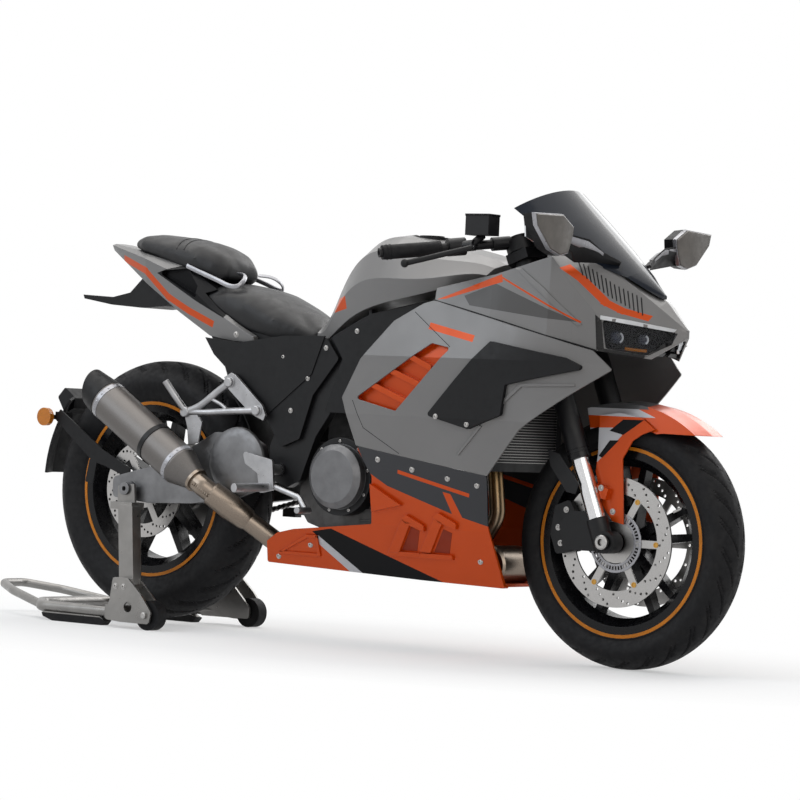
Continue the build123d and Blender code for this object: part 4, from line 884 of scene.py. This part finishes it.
# Fairing creases and the lip under the duct
panels("fairing_creases", "fairing_paint", surface("side_fairings"),
       (3.0, (1180, 584), (1238, 640), (1360, 646), (1360, 652), (1235, 648), (1174, 590)),
       (3.0, (1060, 478), (1066, 476), (1136, 544), (1130, 548)), sharp=24.0)

# Nose: louvre ribs by the screen, folds, seam and lamp edges
RIBS = 15
ribs = Batch("cowl_ribs", "black_plastic", mirrored=True, sharp=24.0)
for k in range(RIBS):
    foot = Vector((1336, -143)).lerp(Vector((1466, -66)), k / RIBS)
    head = Vector((1318, -134)).lerp(Vector((1450, -50)), k / RIBS)
    ribs.path(over(nose, [foot.lerp(head, j / 4) for j in range(5)], 0.4), 1.5, 6, 3)
ribs.done()
panels("cowl_folds", "cowl_paint", nose,
       (2.6, (1188, 912), (1256, 858), (1346, 784), (1356, 788), (1268, 868), (1197, 918)), sharp=24.0)
seam = Batch("cowl_seam", "black_plastic", mirrored=True)
seam.path(((966, -209.6, 834), (1050, -212.2, 815.5), (1130, -213.6, 797), (1205, -206.0, 778), (1280, -197.6, 759),
           (1335, -175.6, 745), (1388, -149.6, 730)), 2.2, 8, 4)
seam.done()
panels("lamp_bezels", "black_gloss", nose,
       (1.0, (1382, 812), (1394, 802), (1400, 736), (1388, 732)),
       (1.0, (1388, 742), (1400, 736), (1470, 724), (1466, 718), (1392, 729)),
       (1.0, (1466, 718), (1512, 752), (1522, 778), (1512, 778), (1504, 756), (1470, 726)))
panels("lamp_brows", "lamp_and_glint_white", nose, (1.6, (1392, 802), (1516, 780), (1520, 787), (1440, 803), (1392, 811)))

# Lamp insides: eyes in collars, painted glints in the eyes, and ambers
FACING, ACROSS, UPWARD = Vector((0.69, -0.72, 0.0)), Vector((0.72, 0.69, 0.0)), Vector((0, 0, 1))
bowl = surface("headlights")


def in_lamp(ahead, y, z, lift):
    """A place on the lamp bowl met along the lamp's own facing and lifted off it, in millimetres."""
    hit = bowl.ray_cast(at(ahead, y, z) + FACING * 0.15, -FACING)[0]
    return hit / MM - Vector((REAR_AXLE_X, 0, 0)) + FACING * lift


collars = Batch("lamp_collars", "black_gloss", mirrored=True)
eyes = Batch("lamp_eyes", "lens", mirrored=True)
glints = Batch("painted_lens_glints", "lamp_and_glint_white", mirrored=True)
DOME = [math.radians(a) for a in range(0, 90, 15)]
CRESCENT = [math.radians(a) for a in range(-60, 61, 15)]
for ahead, y, z, r in ((1414, -108, 762, 17.0), (1458, -66, 760, 15.0)):
    place = in_lamp(ahead, y, z, -2.0)
    collars.turned(place, FACING, ((0, r + 4), (7, r + 4), (7, r + 1), (0, r + 1)), 28, True)
    eyes.turned(place, FACING, [(1 + 7 * math.sin(t), r * math.cos(t)) for t in DOME], 24)
    # A white crescent inside each eye: a painted glint on the lens.
    glints.path([place + (ACROSS * math.cos(t) + UPWARD * math.sin(t)) * (r - 5) + FACING * 6.5 for t in CRESCENT],
                2.4, 8, 3)
ambers = Batch("lamp_ambers", "amber", mirrored=True)
ambers.path([in_lamp(*p, 2.0) for p in ((1432, -100, 738), (1450, -84, 736), (1470, -66, 735))], 3.6, 8, 4)
for batch in (collars, eyes, glints, ambers):
    batch.done()

# Front end: axle nut, mudguard and caliper screws, guard plates and fork rings
nuts = Batch("front_nuts", "steel", mirrored=True, body="steering")
nuts.turned((FRONT_AHEAD, -123, FRONT_Z), TO_RIGHT, ((0, 17), (7, 17), (9, 14), (9, 8), (2, 8)), 24)
nuts.screws_on(surface("front_mudguard"), 5.0, (1378, 417), (1404, 364))
nuts.screws_on(surface("front_calipers"), 5.0, (1264, 320), (1284, 362), (1272, 284))
nuts.done()
plates = Batch("fork_guards", "black_metal", mirrored=True, body="steering")
plates.plate(((1249, 500), (1283, 490), (1338, 424), (1330, 400), (1306, 404), (1258, 462)), -124.5, -121.0)
plates.done()
RAKE = math.radians(21.5)
UP_FORK = Vector((-math.sin(RAKE), 0, math.cos(RAKE)))
FORK_FOOT = Vector((FRONT_AHEAD - 12.1, -98, 289.2))
lathe("fork_rings", "black_gloss", *(
    (FORK_FOOT + UP_FORK * along, UP_FORK,
     ((0, r - 1.2), (0.6, r), (h - 0.6, r), (h, r - 1.2), (h, r - 5), (0, r - 5)), 28, True)
    for along, r, h in ((205, 27.4, 14), (226, 26.8, 3), (480, 26.8, 4))), body="steering", mirrored=True)

# Handlebar: ribbed grips
BAR_IN, BAR_OUT = Vector((1108, -122, 974)), Vector((926, -378, 934))
GRIP_R, GRIP_RIB_R = 15.0, 18.0
bar = (BAR_OUT - BAR_IN).normalized()
lathe("grip_ribs", "rubber", *(
    (BAR_OUT - bar * along, bar, ((0, GRIP_R), (1.2, GRIP_RIB_R), (4.2, GRIP_RIB_R), (5.4, GRIP_R)), 20, True)
    for along in (146, 30, 22)), body="steering", mirrored=True)

# Silencer bands with rivets, its strap, and the sleeve with springs on the pipe
CAN_FRONT, CAN_REAR = Vector((212, -200, 410)), Vector((-38, -200, 566))
RIVETS = 14
can, can_u, can_v = basis(CAN_REAR - CAN_FRONT)
bands = Batch("silencer_bands", "pale_metal")
for start, wide in ((4, 13), ((CAN_REAR - CAN_FRONT).length - 18, 14)):
    bands.turned(CAN_FRONT + can * start, can, ((0, 49.5), (0.5, 51.0), (wide - 0.5, 51.0), (wide, 49.5)), 48, True)
    for i in range(RIVETS):
        t = math.tau * i / RIVETS
        out = can_u * math.cos(t) + can_v * math.sin(t)
        bands.turned(CAN_FRONT + can * (start + wide / 2) + out * 50.5, out, ((0, 2.6), (1.2, 2.4), (1.8, 1.2)), 8)
bands.done()
lathe("silencer_strap", "black_metal",
      (CAN_FRONT + can * 96, can, ((0, 49.6), (0.5, 52.0), (13.5, 52.0), (14, 49.6)), 48, True))
BEND, LOWER = Vector((288, -197, 362)), Vector((446, -70, 222))
down = (LOWER - BEND).normalized()
sleeve = Batch("pipe_sleeve", "pipe")
sleeve.turned(BEND + down * 18, down, ((0, 26), (4, 31), (60, 33), (110, 29), (118, 25.4)))
for s in (-1, 1):
    sleeve.coil(BEND + Vector((-14, s * 29, 10)), BEND + down * 40 + Vector((0, s * 33, 2)), 4.2, 1.1, 9, 6)
sleeve.done()

# Passenger brackets of round bar, the covers under the tail and the inner mudguard
TOP, LOW, HUB = (322, -158, 622), (412, -158, 556), (192, -164, 544)
bars = Batch("pillion_brackets", "aluminium", mirrored=True)
bars.path((TOP, (284, -160, 596), (236, -162, 562), HUB), 9.5, 12, 6)
bars.path((LOW, (340, -160, 552), (262, -162, 546), HUB), 8.5, 12, 6)
bars.plate(((304, 634), (318, 606), (392, 548), (432, 532), (438, 546), (426, 570), (340, 640), (326, 646)), -160, -152)
bars.path(((262, -161, 581), (300, -160, 566), (322, -160, 550)), 5.0, 10, 6)
for ahead, _, z in (TOP, LOW):
    bars.turned((ahead, -170, z), (0, 1, 0), ((0, 10), (2, 12), (30, 12), (30.5, 8)), 20)
bars.turned((HUB[0], -176, HUB[2]), (0, 1, 0), ((0, 11), (2, 13), (20, 13), (22, 11)), 20)
bars.path((HUB, (176, -180, 572), (146, -196, 618)), 8.5, 12, 5)
bars.done()
hanger = Batch("silencer_hanger", "aluminium")
hanger.plate(((186, 548), (214, 556), (246, 520), (236, 470), (206, 462), (200, 505)), -168, -163)
hanger.done("passenger_brackets")
under_tail = Batch("tail_side_covers", "black_plastic", mirrored=True)
under_tail.plate(((222, 731), (330, 721), (470, 741), (596, 744), (560, 650), (430, 548), (404, 548), (300, 652),
                  (252, 690)), -141.5, -137.0)
under_tail.plate(((212, 743), (330, 762), (384, 752), (404, 738), (560, 738), (560, 700), (300, 690), (240, 704)),
                 -112, -106)
under_tail.done()
SHEET = ((358, -66), (362, -40), (362, 40), (358, 66), (354, 66), (358, 40), (358, -40), (354, -66))
inner = Batch("inner_mudguard", "black_plastic")
inner.rings([[at(r * math.cos(t), y, REAR_Z + r * math.sin(t)) for r, y in SHEET]
             for t in (math.radians(a) for a in range(10, 53, 3))])
inner.box((512, 0, 520), (84, 110, 96))
inner.done()

# Arm bosses, clutch cover with its screws and ribs, exhaust drum and engine bosses
CLUTCH = (682, -168, 408)
lathe("arm_bosses", "casting", ((338, -137, 428), TO_RIGHT,
                                ((-3, 86), (4, 84), (9, 76), (11.5, 60), (12, 30), (12, 0.01)), 48), mirrored=True)
engine = Batch("engine_screws", "steel")
for i in range(9):
    engine.screw(round_axle(CLUTCH[0], CLUTCH[2], 85, 40 * i + 12, CLUTCH[1]))
engine.done()
lathe("clutch_flange", "black_metal",
      (CLUTCH, TO_RIGHT, ((-38, 93.4), (0.6, 93.4), (1.4, 92.6), (1.4, 79), (-1, 79)), 64))
lathe("exhaust_drum", "pipe",
      ((1052, -64, 218), (0, 1, 0), ((0, 18), (3, 42), (8, 47), (120, 47), (125, 42), (128, 18)), 40))
cover_ribs = Batch("clutch_ribs", "black_metal")
cover_ribs.box((682, -188.4, 396), (136, 1.4, 3.0), -22)
cover_ribs.box((690, -188.4, 372), (62, 1.4, 3.0), 32)
cover_ribs.done()
bosses = Batch("engine_bosses", "engine_grey", mirrored=True, sharp=30.0)
for ahead, z, r, y in ((560, 450, 22, -90), (575, 360, 17, -90), (628, 455, 12, -128), (800, 330, 14, -128),
                       (800, 400, 14, -128)):
    bosses.turned((ahead, y, z), TO_RIGHT, ((-3, r + 3), (4, r + 2), (7, r), (7, r * 0.55), (4, r * 0.5)), 24)
for z in (280, 306, 332, 358):
    bosses.box((760, -129, z), (84, 7, 5))
bosses.done()

# Rear spring on its damper
DAMPER_FOOT, DAMPER_HEAD = Vector((380, 0, 436)), Vector((505, 0, 650))
lift = (DAMPER_HEAD - DAMPER_FOOT).normalized()
spring = Batch("shock_spring", "orange_paint")
spring.coil(DAMPER_FOOT + lift * 36, DAMPER_FOOT + lift * 196, 32.0, 5.0, 7.0)
spring.done()
SEAT = ((0, 38), (6, 38), (6, 12), (0, 12))
lathe("spring_seats", "black_metal", *((DAMPER_FOOT + lift * along, lift, SEAT, 28, True) for along in (30, 196)))

# Radiator fins
FINS = 46
lo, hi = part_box("radiator")
fins = Batch("radiator_fins", "steel")
for k in range(FINS):
    z = (lo[2] + (hi[2] - lo[2]) * (0.06 + 0.80 * k / (FINS - 1))) / MM
    fins.box((hi[0] / MM - REAR_AXLE_X + 0.5, 0, z), (3.0, (hi[1] - lo[1]) / MM * 0.86, 1.2))
fins.done()

# Paddock stand: rubber feet, roller rims and pins
ROLLER_AHEAD, ROLLER_Z = 137, 37
feet = Batch("stand_feet", "rubber", mirrored=True)
feet.plate(((-233, 19), (-38, 19), (-20, 12), (-31, 0.2), (-197, 0.2), (-229, 10)), -191.2, -164.8)
feet.done()
for hand, s in (("right", -1), ("left", 1)):
    lathe("roller_rims_" + hand, "black_gloss", *(
        ((ROLLER_AHEAD, s * y, ROLLER_Z), (0, s, 0), ((-1.6, 30), (0, 33), (1.6, 30), (1.6, 20), (-1.6, 20)), 32, True)
        for y in (184, 212)), body="stand_roller_" + hand)
stand_pins = Batch("stand_pins", "steel", mirrored=True)
stand_pins.turned((ROLLER_AHEAD, -228, ROLLER_Z), TO_RIGHT, ((0, 8), (2, 8), (3.5, 6)), 16)
for ahead in (40, 66):
    stand_pins.screw((ahead, -225, 104), 5.5)
stand_pins.done()

# Mirrors: shield-shaped shells on black wings that reach the foot of the screen
SHELL = ((-376, 1030), (-262, 1034), (-216, 1008), (-219, 986), (-236, 945), (-270, 938), (-312, 950), (-368, 1002))
MID_Y, MID_Z = (sum(p[k] for p in SHELL) / len(SHELL) for k in (0, 1))
OUTWARD = Vector((0.6, -0.8, 0.0))
WING = (
    # top edge, bottom edge
    ((1346, -262, 992), (1338, -262, 948)),
    ((1350, -240, 992), (1340, -240, 946)),
    ((1362, -160, 983), (1322, -160, 930)),
    ((1368, -108, 957), (1358, -104, 932)),
    ((1386, -60, 938), (1382, -62, 929)),
)


def shell_rings(*sections):
    """The shell's outline at each (ahead, scale)."""
    return [[at(ahead, MID_Y + (y - MID_Y) * k, MID_Z + (z - MID_Z) * k) for y, z in SHELL] for ahead, k in sections]


def wing_ring(top, low, start, end, bulge, lift):
    """Four points round the wing between two shares of its height."""
    upper, lower = at(*top), at(*low)
    first, last = upper.lerp(lower, start), upper.lerp(lower, end)
    middle = (first + last) / 2
    return [first + OUTWARD * lift * MM, middle + OUTWARD * (bulge + lift) * MM, last + OUTWARD * lift * MM,
            middle - OUTWARD * 12 * MM]


def skins(name, look, *runs, nodes=()):
    """A piece on both sides, skinned over runs of rings."""
    batch = Batch(name, look, mirrored=True, sharp=40.0)
    for run in runs:
        batch.rings(run)
    batch.done(*nodes)


skins("mirror_shells", "satin_grey", shell_rings((1349, 0.93), (1357, 0.94), (1359, 0.90)))
skins("mirror_rims", "pale_metal", shell_rings((1343, 0.98), (1350, 1.0), (1356, 0.97)))
skins("mirror_wings", "black_plastic", shell_rings((1318, 0.88), (1320, 0.94), (1346, 0.99)),
      [wing_ring(*edges, 0.0, 1.0, 7.0, 0.0) for edges in WING], nodes=("mirrors",))
skins("mirror_lamps", "pale_metal", [wing_ring(*edges, 0.08, 0.42, 3.0, 3.4) for edges in WING[1:4]])
lid = Batch("reservoir_lid", "black_gloss", mirrored=True, body="steering")
lid.box((1082, -191, 1034.5), (68, 46, 5))
lid.done()

# Camera, light and floor
CAMERA_AT, FOCAL_MM, SENSOR_MM = (5.3454, -7.0192, 0.5826), 162.43, 36.0
YAW, PITCH, ROLL = (math.radians(a) for a in (36.594, -0.1, 2.665))
LAMPS = (
    # name, place, aim, size, power, tint
    ("over", (-0.4, 0.4, 3.8), (0.0, 0.0, 0.5), (6.0, 4.4), 165, (1.0, 0.98, 0.95)),
    ("key", (-2.6, -4.0, 3.2), (0.0, 0.0, 0.5), (4.0, 3.0), 92, (0.86, 0.93, 1.0)),
    ("front", (4.8, -2.6, 2.4), (0.5, 0.0, 0.5), (4.0, 3.0), 60, (1.0, 0.95, 0.88)),
    ("far", (0.5, 4.5, 3.0), (0.0, 0.0, 0.6), (4.0, 2.0), 70, (1.0, 1.0, 1.0)),
)
SKY_LEVEL, SKY_LOW, SKY_HIGH, WHITE = 0.15, (0.95, 0.84, 0.74), (0.66, 0.80, 1.0), (1, 1, 1)
FLOOR_HALF = 30


def place_camera():
    """The photo's camera."""
    back = Vector((math.sin(YAW) * math.cos(PITCH), -math.cos(YAW) * math.cos(PITCH), math.sin(PITCH)))
    right = Vector((math.cos(YAW), math.sin(YAW), 0.0))
    up = back.cross(right)
    turned_right = math.cos(ROLL) * right + math.sin(ROLL) * up
    turned_up = -math.sin(ROLL) * right + math.cos(ROLL) * up
    data = bpy.data.cameras.new("camera")
    data.lens, data.sensor_width, data.clip_end = FOCAL_MM, SENSOR_MM, 100.0
    camera = link_new("camera", data)
    turn = Matrix((turned_right, turned_up, back)).transposed().to_4x4()
    camera.matrix_world = Matrix.Translation(CAMERA_AT) @ turn
    bpy.context.scene.camera = camera


def place_lamp(name, place, aim, size, power, tint):
    data = bpy.data.lights.new(name, "AREA")
    data.shape = "RECTANGLE"
    data.size, data.size_y = size
    data.energy, data.color = power, tint
    obj = link_new(name, data)
    obj.location = place
    obj.rotation_euler = (Vector(aim) - Vector(place)).to_track_quat("-Z", "Y").to_euler()


def light_world():
    """White for the eye, and a low light, warm below and bluish above, for the rest."""
    world = bpy.data.worlds.new("world")
    bpy.context.scene.world = world
    world.use_nodes = True
    sky = Nodes(world.node_tree)
    background = sky.tree.nodes["Background"]
    seen = sky.seen()
    sky.put(background, "Strength", sky.remap(seen, 0.0, 1.0, SKY_LEVEL, 1.0))
    height = sky.split(sky.node("ShaderNodeTexCoord").outputs["Generated"])[2]
    tones = sky.blend(sky.remap(height, -0.1, 0.6, 0.0, 1.0), SKY_LOW, SKY_HIGH)
    sky.put(background, "Color", sky.blend(seen, tones, WHITE))


def lay_floor():
    """A pale floor that keeps the shadow and fades to white away from the stand."""
    mesh = bpy.data.meshes.new("floor")
    corners = ((-1, -1), (1, -1), (1, 1), (-1, 1))
    mesh.from_pydata([(x * FLOOR_HALF, y * FLOOR_HALF, 0) for x, y in corners], [], [(0, 1, 2, 3)])
    floor = link_new("floor", mesh)
    look = Look("floor", (0.88, 0.88, 0.88), 0.9)
    look.set("Base Color", look.worn(0.99, 0.8))
    away = look.apart(look.stretched((0.72, 1.25, 1.0)), (0, 0, 0))
    share = look.math("MULTIPLY", look.remap(away, 0.75, 1.35, 0.42, 1.0), look.seen())
    white = look.node("ShaderNodeEmission")
    look.put(white, "Strength", 1.0)
    mixed = look.fill(look.node("ShaderNodeMixShader"), share, look.shader.outputs[0], white.outputs[0])
    look.put(look.tree.nodes["Material Output"], "Surface", mixed[0])
    mesh.materials.append(look.mat)


place_camera()
for entry in LAMPS:
    place_lamp(*entry)
light_world()
lay_floor()

bpy.context.scene.view_settings.view_transform = "Standard"
